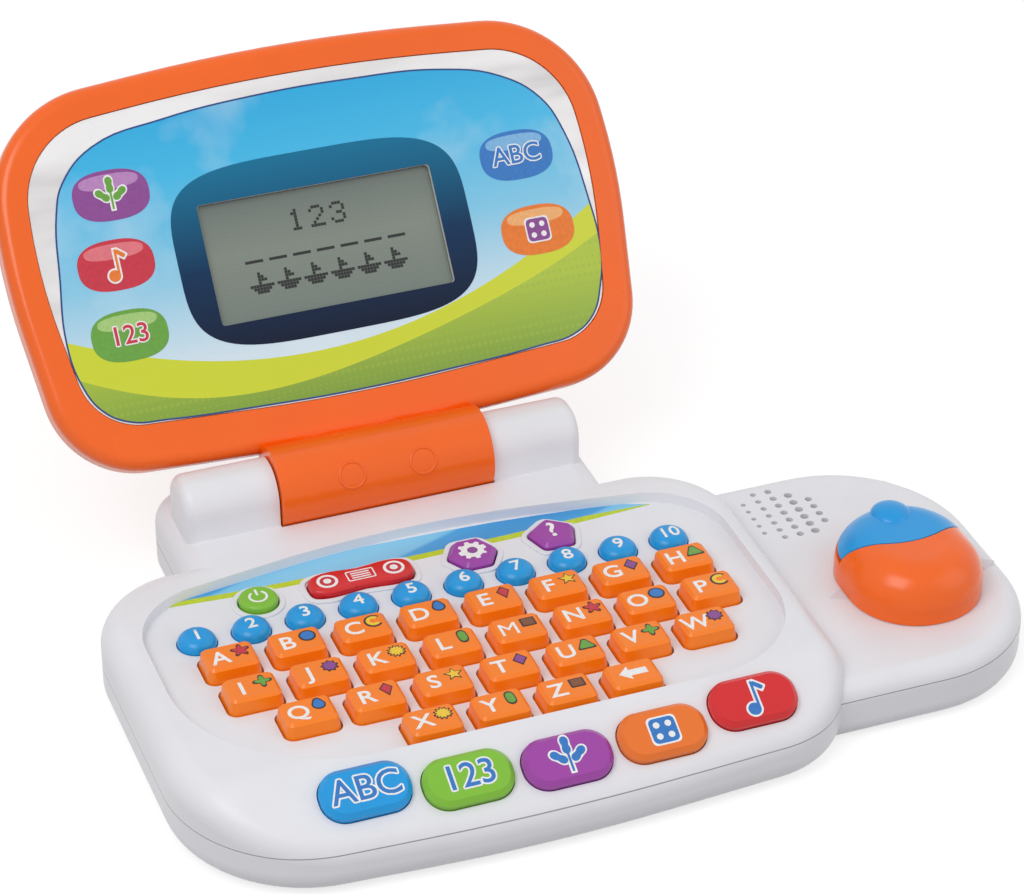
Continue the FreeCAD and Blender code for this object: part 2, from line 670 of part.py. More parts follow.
for i, (x, y, roof) in enumerate(SCREWS):
    boss_height = "(%s - floor_thick / 2 - wall_thick / 2)" % roof
    bosses.append(upright("boss_%d" % i, "boss_radius", boss_height, x, y, "wall_thick / 2"))
    bore_radius = "screw_radius + screw_play"
    bores.append(upright("bore_%d" % i, bore_radius, "screw_length + screw_play", x, y, "screw_seat"))
    wells.append(upright("well_%d" % i, "screw_well", "screw_seat", x, y, "0"))
    shank = upright("shank_%d" % i, "screw_radius", "screw_length", x, y, "screw_seat")
    head = upright("head_%d" % i, "screw_head", "screw_head_thick", x, y, "screw_seat - screw_head_thick")
    screws.append(combine("MultiFuse", "screw_%d" % i, shank, head))
base_full = combine("MultiFuse", "base_full", base_skin, trough_body, *bosses)
nodes["case_screws"] = combine("Compound", "case_screws", *screws)

# Cuts in the base
recess = new_body("recess")
recess_plan = new_sketch(recess, offset=KEY_FLOOR)
draw_outline(recess_plan, recess_corners())
extrude(recess, "Pad", recess_plan, "2 * recess_depth")
drum_cut = axle("drum_cut", TROUGH, "2 * " + TROUGH_END, "-" + TROUGH_END, "hinge_y", "hinge_z")
PIN_REACH = "(drum_width / 2 + pin_length / 2 + pin_play)"
pin_cut = axle("pin_cut", "pin_radius + pin_play", "2 * " + PIN_REACH, "-" + PIN_REACH, "hinge_y", "hinge_z")
hinge_cut = combine("MultiFuse", "hinge_cut", drum_cut, pin_cut)
SLOT_X = "(stem_width / 2 + mouse_travel + mouse_gap)"
SLOT_Y = "(stem_depth / 2 + mouse_gap)"
slot = box("mouse_slot", ("2 * " + SLOT_X, "2 * " + SLOT_Y, "2 * wall_thick"),
           ("mouse_x - " + SLOT_X, "mouse_y - " + SLOT_Y, "deck_height - 1.5 * wall_thick"))
# Speaker holes: first and last row of each column, and its hole's size in steps of growth
GRILLE = [(2, 4, 0), (1, 5, 1), (0, 6, 2), (0, 6, 3), (1, 6, 4), (2, 5, 3)]
grille = []
for column, (first, last, growth) in enumerate(GRILLE):
    for row in range(first, last + 1):
        grille.append(upright("grille_%d_%d" % (column, row), "grille_small + %d * grille_grow" % growth,
                              "2 * wall_thick", "grille_x + %d * grille_step_x" % column,
                              "grille_y - %d * grille_step_y" % row, "deck_height - 1.5 * wall_thick"))
cuts = combine("Compound", "cuts", recess, hinge_cut, slot, *bores, *grille)
base_cut = combine("Cut", "base_cut", base_full, cuts)

# Split at the parting line, key holes above and door opening below
REACH = "2 * (lobe_right + block_back)"
upper_half = box("upper_half", (REACH, REACH, REACH), ("-lobe_right - block_back",) * 2 + ("parting_height",))
lower_half = box("lower_half", (REACH, REACH, "parting_height"), ("-lobe_right - block_back",) * 2 + ("0",))
upper_shell = combine("Common", "upper_shell", base_cut, upper_half)
lower_shell = combine("Common", "lower_shell", base_cut, lower_half)
key_holes = combine("Compound", "key_holes", *holes)
nodes["base_top_shell"] = combine("Cut", "base_top_shell", upper_shell, key_holes)


def plate(label, corners, low, thick):
    body = new_body(label)
    sketch = new_sketch(body, offset=low)
    draw_outline(sketch, corners)
    extrude(body, "Pad", sketch, thick)
    return body


def moved(corners, y):
    return [(x, "%s + %s" % (y, text), r) for x, text, r in corners]


DOOR = rectangle("door_width", "door_depth", "door_corner")
nodes["battery_door"] = plate("battery_door", moved(DOOR("0"), "door_y"), "0", "door_thick")
door_seat = plate("door_seat", moved(DOOR("door_gap"), "door_y"), "0", "door_thick")
door_way = plate("door_way", moved(DOOR("-door_ledge / 1.5"), "door_y"), "0", "2 * wall_thick")
door_cut = combine("MultiFuse", "door_cut", door_seat, door_way)
BOARD_LOW = "(%s - floor_thick - lip_thick - key_travel - pad_gap - 2 * mat_thick - board_thick)" % KEY_FLOOR
posts = []
for i, (x, y) in enumerate([("-(board_left - post_inset)", "-(board_front - 3 * post_inset)"),
                            ("(board_right - post_inset)", "-(board_front - 3 * post_inset)"),
                            ("-(board_left - post_inset)", "(board_back - post_inset)"),
                            ("(board_right - post_inset)", "(board_back - post_inset)")]):
    post_height = BOARD_LOW + " - wall_thick / 2"
    posts.append(upright("post_%d" % i, "post_radius", post_height, x, y, "wall_thick / 2"))
posted = combine("MultiFuse", "posted_shell", lower_shell, *posts)
low_cuts = combine("Compound", "low_cuts", door_cut, *wells)
nodes["base_bottom_shell"] = combine("Cut", "base_bottom_shell", posted, low_cuts)

# Inside the base
BOARD = ("board_left + board_right", "board_front + board_back")
nodes["circuit_board"] = box("circuit_board", BOARD + ("board_thick",),
                             ("-board_left", "-board_front", BOARD_LOW))
MAT_LOW = "(%s + board_thick)" % BOARD_LOW
mat_sheet = box("mat_sheet", BOARD + ("mat_thick",), ("-board_left", "-board_front", MAT_LOW))
pads = []
for name, kind, x, y in places:
    pads.append(box(name + "_pad", ("pad_size", "pad_size", "1.5 * mat_thick"),
                    ("%s - pad_size / 2" % x, "%s - pad_size / 2" % y, MAT_LOW + " + mat_thick / 2")))
nodes["keypad_mat"] = combine("MultiFuse", "keypad_mat", mat_sheet, *pads)
nodes["speaker"] = upright("speaker", "speaker_radius", "speaker_thick", "speaker_x", "speaker_y",
                           "deck_height - wall_thick - speaker_thick")

# Mouse: a domed body with a stem through the deck, and a button over its back half
DOME_LOW = "(deck_height + mouse_gap)"
dome = plate("mouse_dome", [(mx, my, "mouse_corner") for mx, my in (
    ("mouse_x - mouse_width / 2", "mouse_y - mouse_length / 2"),
    ("mouse_x + mouse_width / 2", "mouse_y - mouse_length / 2"),
    ("mouse_x + mouse_width / 2", "mouse_y + mouse_length / 2"),
    ("mouse_x - mouse_width / 2", "mouse_y + mouse_length / 2"))], DOME_LOW, "mouse_height")
dress(dome, "Fillet", rim_edges(dome.Shape, True), Radius="mouse_round")
BUTTON_LOW = "(%s + button_low)" % DOME_LOW
POCKET_LOW = "(%s - button_travel - button_gap)" % BUTTON_LOW


def button_plan(grow):
    """Plan of the button's zone: everything behind the seam, which bows to the front."""
    seam = "(mouse_y - button_seam - %s - (seam_bow + %s) * (1 / cos(seam_turn) - 1))" % (grow, grow)
    side = "(%s + mouse_width * tan(seam_turn))" % seam
    back = "(mouse_y + mouse_length)"
    left = "(mouse_x - mouse_width)"
    right = "(mouse_x + mouse_width)"
    return [
        (left, side, "seam_end"),
        ("mouse_x", seam, "(seam_bow + %s)" % grow),
        (right, side, "seam_end"),
        (right, back, "seam_end"),
        (left, back, "seam_end"),
    ]


zone = plate("button_zone", button_plan("0"), BUTTON_LOW, "mouse_height")
room = plate("button_room", button_plan("button_gap"), POCKET_LOW, "2 * mouse_height")
nodes["mouse_button"] = combine("Common", "mouse_button", dome, zone)
mouse_shell = combine("Cut", "mouse_shell", dome, room)
FOOT_LOW = "(deck_height - wall_thick - mouse_gap - stem_foot_thick)"
stem = box("mouse_stem", ("stem_width", "stem_depth", "%s + wall_thick / 2 - %s" % (DOME_LOW, FOOT_LOW)),
           ("mouse_x - stem_width / 2", "mouse_y - stem_depth / 2", FOOT_LOW))
foot = box("mouse_foot", ("stem_width + 2 * stem_foot", "stem_depth + 2 * stem_foot", "stem_foot_thick"),
           ("mouse_x - stem_width / 2 - stem_foot", "mouse_y - stem_depth / 2 - stem_foot", FOOT_LOW))
nodes["mouse_body"] = combine("MultiFuse", "mouse_body", mouse_shell, stem, foot)


# Lid, in its own frame: the hinge axis is the origin, y runs up the lid and z out of its front
def lid_corners(side, foot, top):
    """Lid outline drawn in by side at the sides, by foot below and by top above."""
    wide = "(lid_half - %s)" % side
    high = "(lid_high_half - %s)" % side
    low = "(lid_low_half - %s)" % side
    low_y = "(lid_low + %s)" % foot
    high_y = "(lid_high - %s)" % top
    low_r = "(lid_low_corner - %s)" % side
    high_r = "(lid_high_corner - %s)" % side
    side_r = "(lid_side_bow - %s)" % side
    return [
        ("0", "(lid_foot + %s)" % foot, "lid_bow"),
        (low, low_y, low_r),
        (wide, "lid_waist", side_r),
        (high, high_y, high_r),
        ("0", "(lid_top - %s)" % top, "lid_bow"),
        ("-" + high, high_y, high_r),
        ("-" + wide, "lid_waist", side_r),
        ("-" + low, low_y, low_r),
    ]


def screen_corners(grow):
    x = "(screen_width / 2 + %s)" % grow
    low = "(screen_foot - %s)" % grow
    high = "(screen_foot + screen_height + %s)" % grow
    r = "(screen_corner + %s)" % grow
    return [("-" + x, low, r), (x, low, r), (x, high, r), ("-" + x, high, r)]


def tilt_open(thing):
    """Turns a piece drawn in the lid's frame to the open pose."""
    tilt_about_x(thing, "lid_open")
    return bind(thing, y="hinge_y", z="hinge_z")


def cut_plan(body, corners, low, depth):
    """Pocket of an outline from a height upwards."""
    sketch = new_sketch(body, offset=low)
    draw_outline(sketch, corners)
    extrude(body, "Pocket", sketch, depth, back=True)


bezel = plate("lid_front_shell", lid_corners("0", "0", "0"), "-bezel_thick", "bezel_thick")
dress(bezel, "Fillet", rim_edges(bezel.Shape, True), Radius="bezel_round")
cut_plan(bezel, lid_corners("border_side", "border_foot", "border_side"), "-panel_depth", "panel_depth")
cut_plan(bezel, lid_corners("lid_wall", "lid_wall", "lid_wall"), "-bezel_thick",
         "bezel_thick - panel_depth - ledge_thick")
cut_plan(bezel, screen_corners("(lcd_step + lcd_gap)"), "-bezel_thick", "bezel_thick")
drum = new_sketch(bezel, "YZ_Plane")
draw_circle(drum, "drum_radius")
extrude(bezel, "Pad", drum, "drum_width", middle=True)
PIN_END = "(drum_width / 2 - pin_length / 2)"
for side in (1, -1):
    pin_hole = new_sketch(bezel, "YZ_Plane", "%d * drum_width / 2" % side)
    draw_circle(pin_hole, "pin_radius")
    extrude(bezel, "Pocket", pin_hole, "pin_length / 2", back=side < 0)
nodes["lid_front_shell"] = tilt_open(bezel)

back = plate("lid_back_shell", lid_corners("0", "0", "0"), "-(bezel_thick + back_thick)", "back_thick")
dress(back, "Fillet", rim_edges(back.Shape, False), Radius="back_round")
BACK_IN = "(back_round / 2 + lid_wall)"
cut_plan(back, lid_corners(BACK_IN, BACK_IN, BACK_IN), "-(bezel_thick + back_thick - lid_wall)",
         "back_thick - lid_wall")
drum_room = new_sketch(back, "YZ_Plane")
draw_circle(drum_room, "drum_radius + panel_gap")
extrude(back, "Pocket", drum_room, "drum_width + 2 * panel_gap", middle=True)
nodes["lid_back_shell"] = tilt_open(back)

PANEL_IN = "(border_side + panel_gap)"
PANEL = lid_corners(PANEL_IN, "(border_foot + panel_gap)", PANEL_IN)
panel = plate("screen_panel", PANEL, "-panel_depth", "panel_thick")
cut_plan(panel, screen_corners("0"), "-panel_depth", "panel_thick")
nodes["screen_panel"] = tilt_open(panel)

LEDGE_BACK = "(panel_depth + ledge_thick)"
MODULE_FACE = "-(%s + lcd_gap)" % LEDGE_BACK
lcd = plate("lcd_module", screen_corners("lcd_border"), MODULE_FACE + " - lcd_thick", "lcd_thick")
glass = new_sketch(lcd, offset=MODULE_FACE)
draw_outline(glass, screen_corners("lcd_step"))
extrude(lcd, "Pad", glass, "ledge_thick - lcd_gap")
nodes["lcd_module"] = tilt_open(lcd)

pins = []
for label, start in (("pin_left", "-(drum_width / 2 + pin_length / 2)"), ("pin_right", PIN_END)):
    pins.append(axle(label, "pin_radius", "pin_length", start, "hinge_y", "hinge_z"))
nodes["hinge_pins"] = combine("Compound", "hinge_pins", *pins)

# Test every object and write one file for each node
doc.recompute()
failed = [o.Label for o in doc.Objects if "Invalid" in o.State or "Error" in o.State]
if failed:
    raise RuntimeError("failed objects: " + ", ".join(failed))
for name, node in nodes.items():
    shape = node.Shape
    if shape.isNull() or not shape.isValid() or not shape.Solids:
        raise RuntimeError("no sound shape for " + name)
    node.Label = name
    shape.exportStep("parts/%s.step" % name)
print(len(nodes), "nodes,", sum(len(n.Shape.Solids) for n in nodes.values()), "solids")
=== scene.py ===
"""Looks of a toy laptop computer standing open, built round its CAD frame.

Metres, +X right, +Y back, +Z up. The lid's pieces are drawn in the lid's own plane, with the hinge
axis as the origin, and are then laid on the open lid.
"""
import json
import math

import bpy
from mathutils import Matrix, Vector


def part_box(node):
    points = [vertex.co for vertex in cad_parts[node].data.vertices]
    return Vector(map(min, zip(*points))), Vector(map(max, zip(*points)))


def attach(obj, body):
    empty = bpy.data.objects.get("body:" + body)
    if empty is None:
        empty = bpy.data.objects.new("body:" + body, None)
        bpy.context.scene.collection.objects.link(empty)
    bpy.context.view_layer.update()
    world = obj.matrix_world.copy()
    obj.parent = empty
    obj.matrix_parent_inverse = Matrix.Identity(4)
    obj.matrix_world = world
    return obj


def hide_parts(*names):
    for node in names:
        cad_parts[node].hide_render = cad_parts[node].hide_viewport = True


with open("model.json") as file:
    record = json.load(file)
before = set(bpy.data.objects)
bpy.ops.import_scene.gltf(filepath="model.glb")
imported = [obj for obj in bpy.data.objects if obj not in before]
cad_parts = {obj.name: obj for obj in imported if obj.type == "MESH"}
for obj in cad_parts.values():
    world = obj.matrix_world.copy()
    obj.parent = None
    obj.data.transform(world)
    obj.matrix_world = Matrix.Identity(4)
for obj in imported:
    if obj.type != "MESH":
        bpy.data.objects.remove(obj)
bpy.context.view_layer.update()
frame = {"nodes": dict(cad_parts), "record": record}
nodes = frame["nodes"]

MM = 0.001
# Print stands this far above its surface, and starts a little below it; a large field starts lower
INK = 0.00008
SINK = 0.00002
FIELD_SINK = 0.00003
HINGE = Vector((0, 0.054, 0.034))
LID_OPEN = math.radians(51.2)
LID = Matrix.Translation(HINGE) @ Matrix.Rotation(LID_OPEN, 4, "X")
# Heights of the base's parting line, the keyboard's floor and the mouse deck
BASE_PARTING = 0.014
KEY_FLOOR = 0.024
DECK_TOP = 0.019
# Depths in the lid's own plane
LID_PARTING = 0.007
PANEL_FACE = -0.0004
GLASS_FACE = -0.0026
# Lower edge and height of the panel's print, the display's surround and its window, up the lid
PRINT_LOW, PRINT_SPAN = 0.0245, 0.094
SURROUND_LOW, SURROUND_SPAN = 0.0428, 0.056
WINDOW_LOW, WINDOW_SPAN = 0.0508, 0.0374


# Materials

def paint(red, green, blue):
    """Colour given in 0 to 255, as the shader takes it."""
    def linear(part):
        part = min(part / 255, 1)
        return part / 12.92 if part <= 0.04045 else ((part + 0.055) / 1.055) ** 2.4
    return tuple(min(linear(part), 1) for part in (red, green, blue)) + (1,)


def feed(tree, socket, given):
    """Links another node's socket, or sets a plain value."""
    if isinstance(given, bpy.types.NodeSocket):
        tree.links.new(given, socket)
    else:
        socket.default_value = given


def add(tree, kind, settings=None, **inputs):
    """Adds a shader node with its settings and inputs."""
    made = tree.nodes.new("ShaderNode" + kind)
    for name, setting in (settings or {}).items():
        setattr(made, name, setting)
    for name, given in inputs.items():
        feed(tree, made.inputs[name.replace("_", " ")], given)
    return made


def maths(tree, operation, first, second=0.0, third=0.0):
    made = tree.nodes.new("ShaderNodeMath")
    made.operation = operation
    for socket, given in zip(made.inputs, (first, second, third)):
        feed(tree, socket, given)
    return made.outputs[0]


def line_up(tree, value, low, span):
    """0 at low, and 1 at low plus span."""
    return maths(tree, "MULTIPLY_ADD", value, 1 / span, -low / span)


def mixed(tree, share, first, second):
    """Colour that goes from first to second as share goes from 0 to 1."""
    made = tree.nodes.new("ShaderNodeMix")
    made.data_type = "RGBA"
    for socket, given in zip((made.inputs[0], made.inputs[6], made.inputs[7]), (share, first, second)):
        feed(tree, socket, given)
    return made.outputs[2]


def ramp(tree, share, stops):
    made = tree.nodes.new("ShaderNodeValToRGB")
    tree.links.new(share, made.inputs[0])
    while len(made.color_ramp.elements) < len(stops):
        made.color_ramp.elements.new(0.5)
    for element, (place, colour) in zip(made.color_ramp.elements, stops):
        element.position = place
        element.color = colour
    return made.outputs[0]


def fresh(name):
    """New material with an empty tree but for its shader, and the Object coordinates."""
    made = bpy.data.materials.new(name)
    made.use_nodes = True
    tree = made.node_tree
    shader = tree.nodes["Principled BSDF"]
    place = tree.nodes.new("ShaderNodeTexCoord").outputs["Object"]
    return made, tree, shader, place


def finish_of(tree, shader, place, low, high, grain, depth):
    """Roughness that drifts between two values, and the fine grain of a moulded or printed surface."""
    cloud = add(tree, "TexNoise", Vector=place, Scale=55.0, Detail=3.0).outputs["Fac"]
    span = add(tree, "MapRange", Value=cloud, From_Min=0.3, From_Max=0.7, To_Min=low, To_Max=high)
    tree.links.new(span.outputs["Result"], shader.inputs["Roughness"])
    fine = add(tree, "TexNoise", Vector=place, Scale=grain, Detail=2.0).outputs["Fac"]
    bump = add(tree, "Bump", Height=fine, Strength=0.25, Distance=depth)
    tree.links.new(bump.outputs["Normal"], shader.inputs["Normal"])
    return cloud


def moulded(name, colour, low=0.26, high=0.38, depth=0.00002, coat=0.1, seam=None):
    """Injection-moulded plastic; seam darkens the line where two shells meet."""
    made, tree, shader, place = fresh(name)
    cloud = finish_of(tree, shader, place, low, high, 2400.0, depth)
    deep = tuple(part * 0.98 for part in colour[:3]) + (1,)
    light = tuple(min(part * 1.015, 1) for part in colour[:3]) + (1,)
    body = ramp(tree, cloud, [(0.3, deep), (0.7, light)])
    if seam:
        body = seam(tree, place, body)
    tree.links.new(body, shader.inputs["Base Color"])
    shader.inputs["Coat Weight"].default_value = coat
    shader.inputs["Coat Roughness"].default_value = 0.18
    shader.inputs["Specular IOR Level"].default_value = 0.45
    return made


def lid_place(tree, place):
    """Place in the lid's own plane."""
    turned = add(tree, "Mapping", {"vector_type": "TEXTURE"}, Vector=place, Location=HINGE,
                 Rotation=(LID_OPEN, 0, 0))
    return add(tree, "SeparateXYZ", Vector=turned.outputs[0]).outputs


SEAM_HALF = 0.00016


def base_seam(tree, place, body):
    height = add(tree, "SeparateXYZ", Vector=place).outputs["Z"]
    off = maths(tree, "ABSOLUTE", maths(tree, "SUBTRACT", height, BASE_PARTING))
    return mixed(tree, maths(tree, "LESS_THAN", off, SEAM_HALF), body, paint(150, 150, 156))


def lid_seam(tree, place, body):
    across = lid_place(tree, place)["Z"]
    off = maths(tree, "ABSOLUTE", maths(tree, "ADD", across, LID_PARTING))
    return mixed(tree, maths(tree, "LESS_THAN", off, SEAM_HALF), body, paint(150, 55, 12))


def printed(name, colour, low=0.3, high=0.42):
    """Flat printing ink, slightly uneven; also the badges' painted highlights."""
    made, tree, shader, place = fresh(name)
    finish_of(tree, shader, place, low, high, 3500.0, 0.000006)
    speck = add(tree, "TexNoise", Vector=place, Scale=900.0, Detail=2.0).outputs["Fac"]
    thin = tuple(part * 0.9 for part in colour[:3]) + (1,)
    tree.links.new(ramp(tree, speck, [(0.35, thin), (0.6, colour)]), shader.inputs["Base Color"])
    return made


# The far hill's curve across the panel, and the near hill's wave and drop below it
HILL_BOWL = 3.1
HILL_LEAN = 0.07
HILL_FOOT = 0.0385
HILL_WAVE = 0.0035
HILL_DROP = 0.0085


def sky_print():
    """Panel print: sky that pales downwards, soft clouds, and two low hills with a dot screen."""
    made, tree, shader, place = fresh("sky_print")
    finish_of(tree, shader, place, 0.16, 0.24, 3500.0, 0.000004)
    local = lid_place(tree, place)
    x, y = local["X"], local["Y"]
    rise = line_up(tree, y, PRINT_LOW, PRINT_SPAN)
    sky = ramp(tree, rise, [(0.18, paint(214, 233, 244)), (0.5, paint(128, 203, 236)),
                            (0.78, paint(58, 188, 236)), (1.0, paint(14, 174, 230))])
    drift = add(tree, "TexNoise", Vector=place, Scale=22.0, Detail=4.0, Roughness=0.55).outputs["Fac"]
    cloud = add(tree, "MapRange", Value=drift, From_Min=0.52, From_Max=0.72, To_Min=0.0, To_Max=0.35)
    sky = mixed(tree, cloud.outputs["Result"], sky, paint(236, 246, 251))
    bowl = maths(tree, "MULTIPLY", maths(tree, "MULTIPLY", x, x), HILL_BOWL)
    lean = maths(tree, "MULTIPLY", x, HILL_LEAN)
    far_line = maths(tree, "ADD", maths(tree, "ADD", bowl, lean), HILL_FOOT)
    swell = maths(tree, "SINE", maths(tree, "MULTIPLY_ADD", x, 34.0, 0.6))
    wave = maths(tree, "MULTIPLY", swell, HILL_WAVE)
    near_line = maths(tree, "ADD", wave, maths(tree, "SUBTRACT", far_line, HILL_DROP))
    far_hill = maths(tree, "LESS_THAN", y, far_line)
    near_hill = maths(tree, "LESS_THAN", y, near_line)
    ground = mixed(tree, far_hill, sky, paint(208, 218, 36))
    dots = add(tree, "TexVoronoi", Vector=place, Scale=520.0, Randomness=0.0).outputs["Distance"]
    dot = maths(tree, "MULTIPLY", maths(tree, "LESS_THAN", dots, 0.34), 0.55)
    fade = ramp(tree, maths(tree, "MULTIPLY_ADD", y, 40.0, -0.9),
                [(0.0, paint(118, 158, 48)), (1.0, paint(176, 200, 52))])
    near = mixed(tree, dot, fade, paint(158, 186, 58))
    tree.links.new(mixed(tree, near_hill, ground, near), shader.inputs["Base Color"])
    shader.inputs["Coat Weight"].default_value = 0.15
    shader.inputs["Coat Roughness"].default_value = 0.08
    return made


def screen_surround():
    """Dark print round the window, lighter towards its top."""
    made, tree, shader, place = fresh("screen_surround")
    finish_of(tree, shader, place, 0.3, 0.38, 3500.0, 0.000004)
    rise = line_up(tree, lid_place(tree, place)["Y"], SURROUND_LOW, SURROUND_SPAN)
    colour = ramp(tree, rise, [(0.0, paint(6, 20, 48)), (0.45, paint(8, 50, 88)),
                               (1.0, paint(22, 116, 156))])
    tree.links.new(colour, shader.inputs["Base Color"])
    shader.inputs["Specular IOR Level"].default_value = 0.2
    return made


def silver_print():
    """Metallic print of the panel's border, with long soft streaks."""
    made, tree, shader, place = fresh("silver_print")
    finish_of(tree, shader, place, 0.24, 0.36, 3500.0, 0.000006)
    drawn = add(tree, "Mapping", Vector=place, Scale=(14.0, 60.0, 60.0)).outputs[0]
    streak = add(tree, "TexNoise", Vector=drawn, Scale=1.0, Detail=3.0).outputs["Fac"]
    colour = ramp(tree, streak, [(0.32, paint(196, 194, 196)), (0.5, paint(226, 224, 224)),
                                 (0.7, paint(240, 239, 240))])
    tree.links.new(colour, shader.inputs["Base Color"])
    shader.inputs["Metallic"].default_value = 0.35
    return made


GLASS_CELL = 0.00125


def display_glass():
    """Grey-green liquid crystal, with the faint grid of its cells."""
    made, tree, shader, place = fresh("display_glass")
    finish_of(tree, shader, place, 0.12, 0.2, 3000.0, 0.000004)
    local = lid_place(tree, place)
    rise = line_up(tree, local["Y"], WINDOW_LOW, WINDOW_SPAN)
    tone = ramp(tree, rise, [(0.0, paint(112, 124, 116)), (0.55, paint(126, 137, 126)),
                             (1.0, paint(104, 116, 110))])
    lines = []
    for side in ("X", "Y"):
        cell = maths(tree, "FRACT", maths(tree, "MULTIPLY", local[side], 1 / GLASS_CELL))
        lines.append(maths(tree, "LESS_THAN", cell, 0.14))
    grid = maths(tree, "MULTIPLY", maths(tree, "MAXIMUM", *lines), 0.12)
    tree.links.new(mixed(tree, grid, tone, paint(84, 96, 92)), shader.inputs["Base Color"])
    shader.inputs["Coat Weight"].default_value = 0.35
    shader.inputs["Coat Roughness"].default_value = 0.1
    return made


def strip_print():
    """Print behind the control keys: blue with slanting lighter bands."""
    made, tree, shader, place = fresh("strip_print")
    finish_of(tree, shader, place, 0.28, 0.38, 3500.0, 0.000006)
    apart = add(tree, "SeparateXYZ", Vector=place).outputs
    along = maths(tree, "MULTIPLY", apart["X"], 20.0)
    across = maths(tree, "MULTIPLY", apart["Y"], -55.0)
    slant = maths(tree, "ADD", along, across)
    band = maths(tree, "SINE", maths(tree, "MULTIPLY", slant, 2.6))
    colour = ramp(tree, maths(tree, "MULTIPLY_ADD", band, 0.5, 0.5),
                  [(0.0, paint(62, 152, 216)), (0.45, paint(72, 164, 224)), (0.55, paint(128, 198, 236)),
                   (1.0, paint(140, 206, 240))])
    tree.links.new(colour, shader.inputs["Base Color"])
    return made


def turned_steel():
    """Steel of the screws."""
    made, tree, shader, place = fresh("turned_steel")
    finish_of(tree, shader, place, 0.28, 0.42, 4000.0, 0.000012)
    speck = add(tree, "TexNoise", Vector=place, Scale=700.0, Detail=3.0).outputs["Fac"]
    colour = ramp(tree, speck, [(0.3, paint(150, 150, 152)), (0.7, paint(196, 196, 198))])
    tree.links.new(colour, shader.inputs["Base Color"])
    shader.inputs["Metallic"].default_value = 1.0
    return made


ORANGE = paint(250, 102, 0)
FINISHES = {
    "white_shell": moulded("white_plastic", paint(233, 233, 238), 0.34, 0.46, 0.00003, 0.08, base_seam),
    "orange_shell": moulded("orange_lid_plastic", ORANGE, 0.2, 0.28, 0.00002, 0.1, lid_seam),
    "orange_key": moulded("orange_key_plastic", paint(254, 130, 6)),
    "blue_key": moulded("blue_key_plastic", paint(0, 154, 226)),
    "green_key": moulded("green_key_plastic", paint(128, 192, 50)),
    "red_key": moulded("red_key_plastic", paint(216, 28, 34)),
    "purple_key": moulded("purple_key_plastic", paint(160, 62, 166)),
    "amber_key": moulded("amber_key_plastic", paint(240, 118, 32)),
    "printed_panel": silver_print(),
    "display": display_glass(),
    "screw_steel": turned_steel(),
    "board": moulded("green_board", paint(34, 92, 58), 0.4, 0.55),
    "mat_rubber": moulded("grey_mat_rubber", paint(150, 152, 150), 0.6, 0.75, 0.00004, 0.0),
    "speaker_can": moulded("dark_speaker_can", paint(46, 46, 50), 0.45, 0.6),
    "pin_plastic": moulded("grey_pin_plastic", paint(120, 120, 124), 0.4, 0.5),
}
WHITE_INK = printed("white_ink", paint(246, 246, 246))
# Dark ink of the pictures' grounds, also the painted shade in the screws' cross slots
DARK_INK_AND_SHADE = printed("dark_ink_and_shade", paint(44, 34, 36))
# Navy line along the panel print's outer edge: painted shadow at that edge
NAVY_EDGE_SHADOW = printed("navy_edge_shadow", paint(26, 58, 130))
LIME_INK = printed("lime_ink", paint(198, 214, 36))
INKS = {
    "red": printed("red_ink", paint(206, 44, 66)),
    "blue": printed("blue_ink", paint(46, 122, 200)),
    "green": printed("green_ink", paint(104, 166, 60)),
    "yellow": printed("yellow_ink", paint(246, 206, 56)),
    "purple": printed("purple_ink", paint(142, 70, 150)),
    "amber": printed("amber_ink", paint(240, 126, 40)),
    "brown": printed("brown_ink", paint(128, 74, 40)),
}
# Lighter tints laid on the upper part of each badge: painted highlight, drawn with the ink shader
PAINTED_HIGHLIGHTS = {
    "red": printed("red_shine", paint(232, 120, 130)),
    "blue": printed("blue_shine", paint(128, 186, 232)),
    "green": printed("green_shine", paint(168, 208, 124)),
    "purple": printed("purple_shine", paint(190, 136, 196)),
    "amber": printed("amber_shine", paint(248, 180, 116)),
}
PIXEL_INK = printed("display_pixel", paint(14, 18, 16))
# Darker white of the deck's embossed arrow heads: painted shade of their relief
DECK_MARK_SHADE = moulded("deck_mark_painted_shade", paint(222, 222, 228), 0.34, 0.46, 0.00003, 0.08)

for subpart in frame["record"]["subparts"]:
    skin = nodes[subpart["node"]].data.materials
    skin.clear()
    skin.append(FINISHES[subpart["material_slot"]])


# Modelling helpers

def only(piece):
    """Selects one piece and makes it the active one."""
    bpy.ops.object.select_all(action="DESELECT")
    piece.select_set(True)
    bpy.context.view_layer.objects.active = piece


def lay(piece, place):
    """Moves a piece by a matrix and leaves the move in its mesh."""
    only(piece)
    piece.matrix_world = place @ piece.matrix_world
    bpy.ops.object.transform_apply(location=True, rotation=True, scale=True)
    return piece


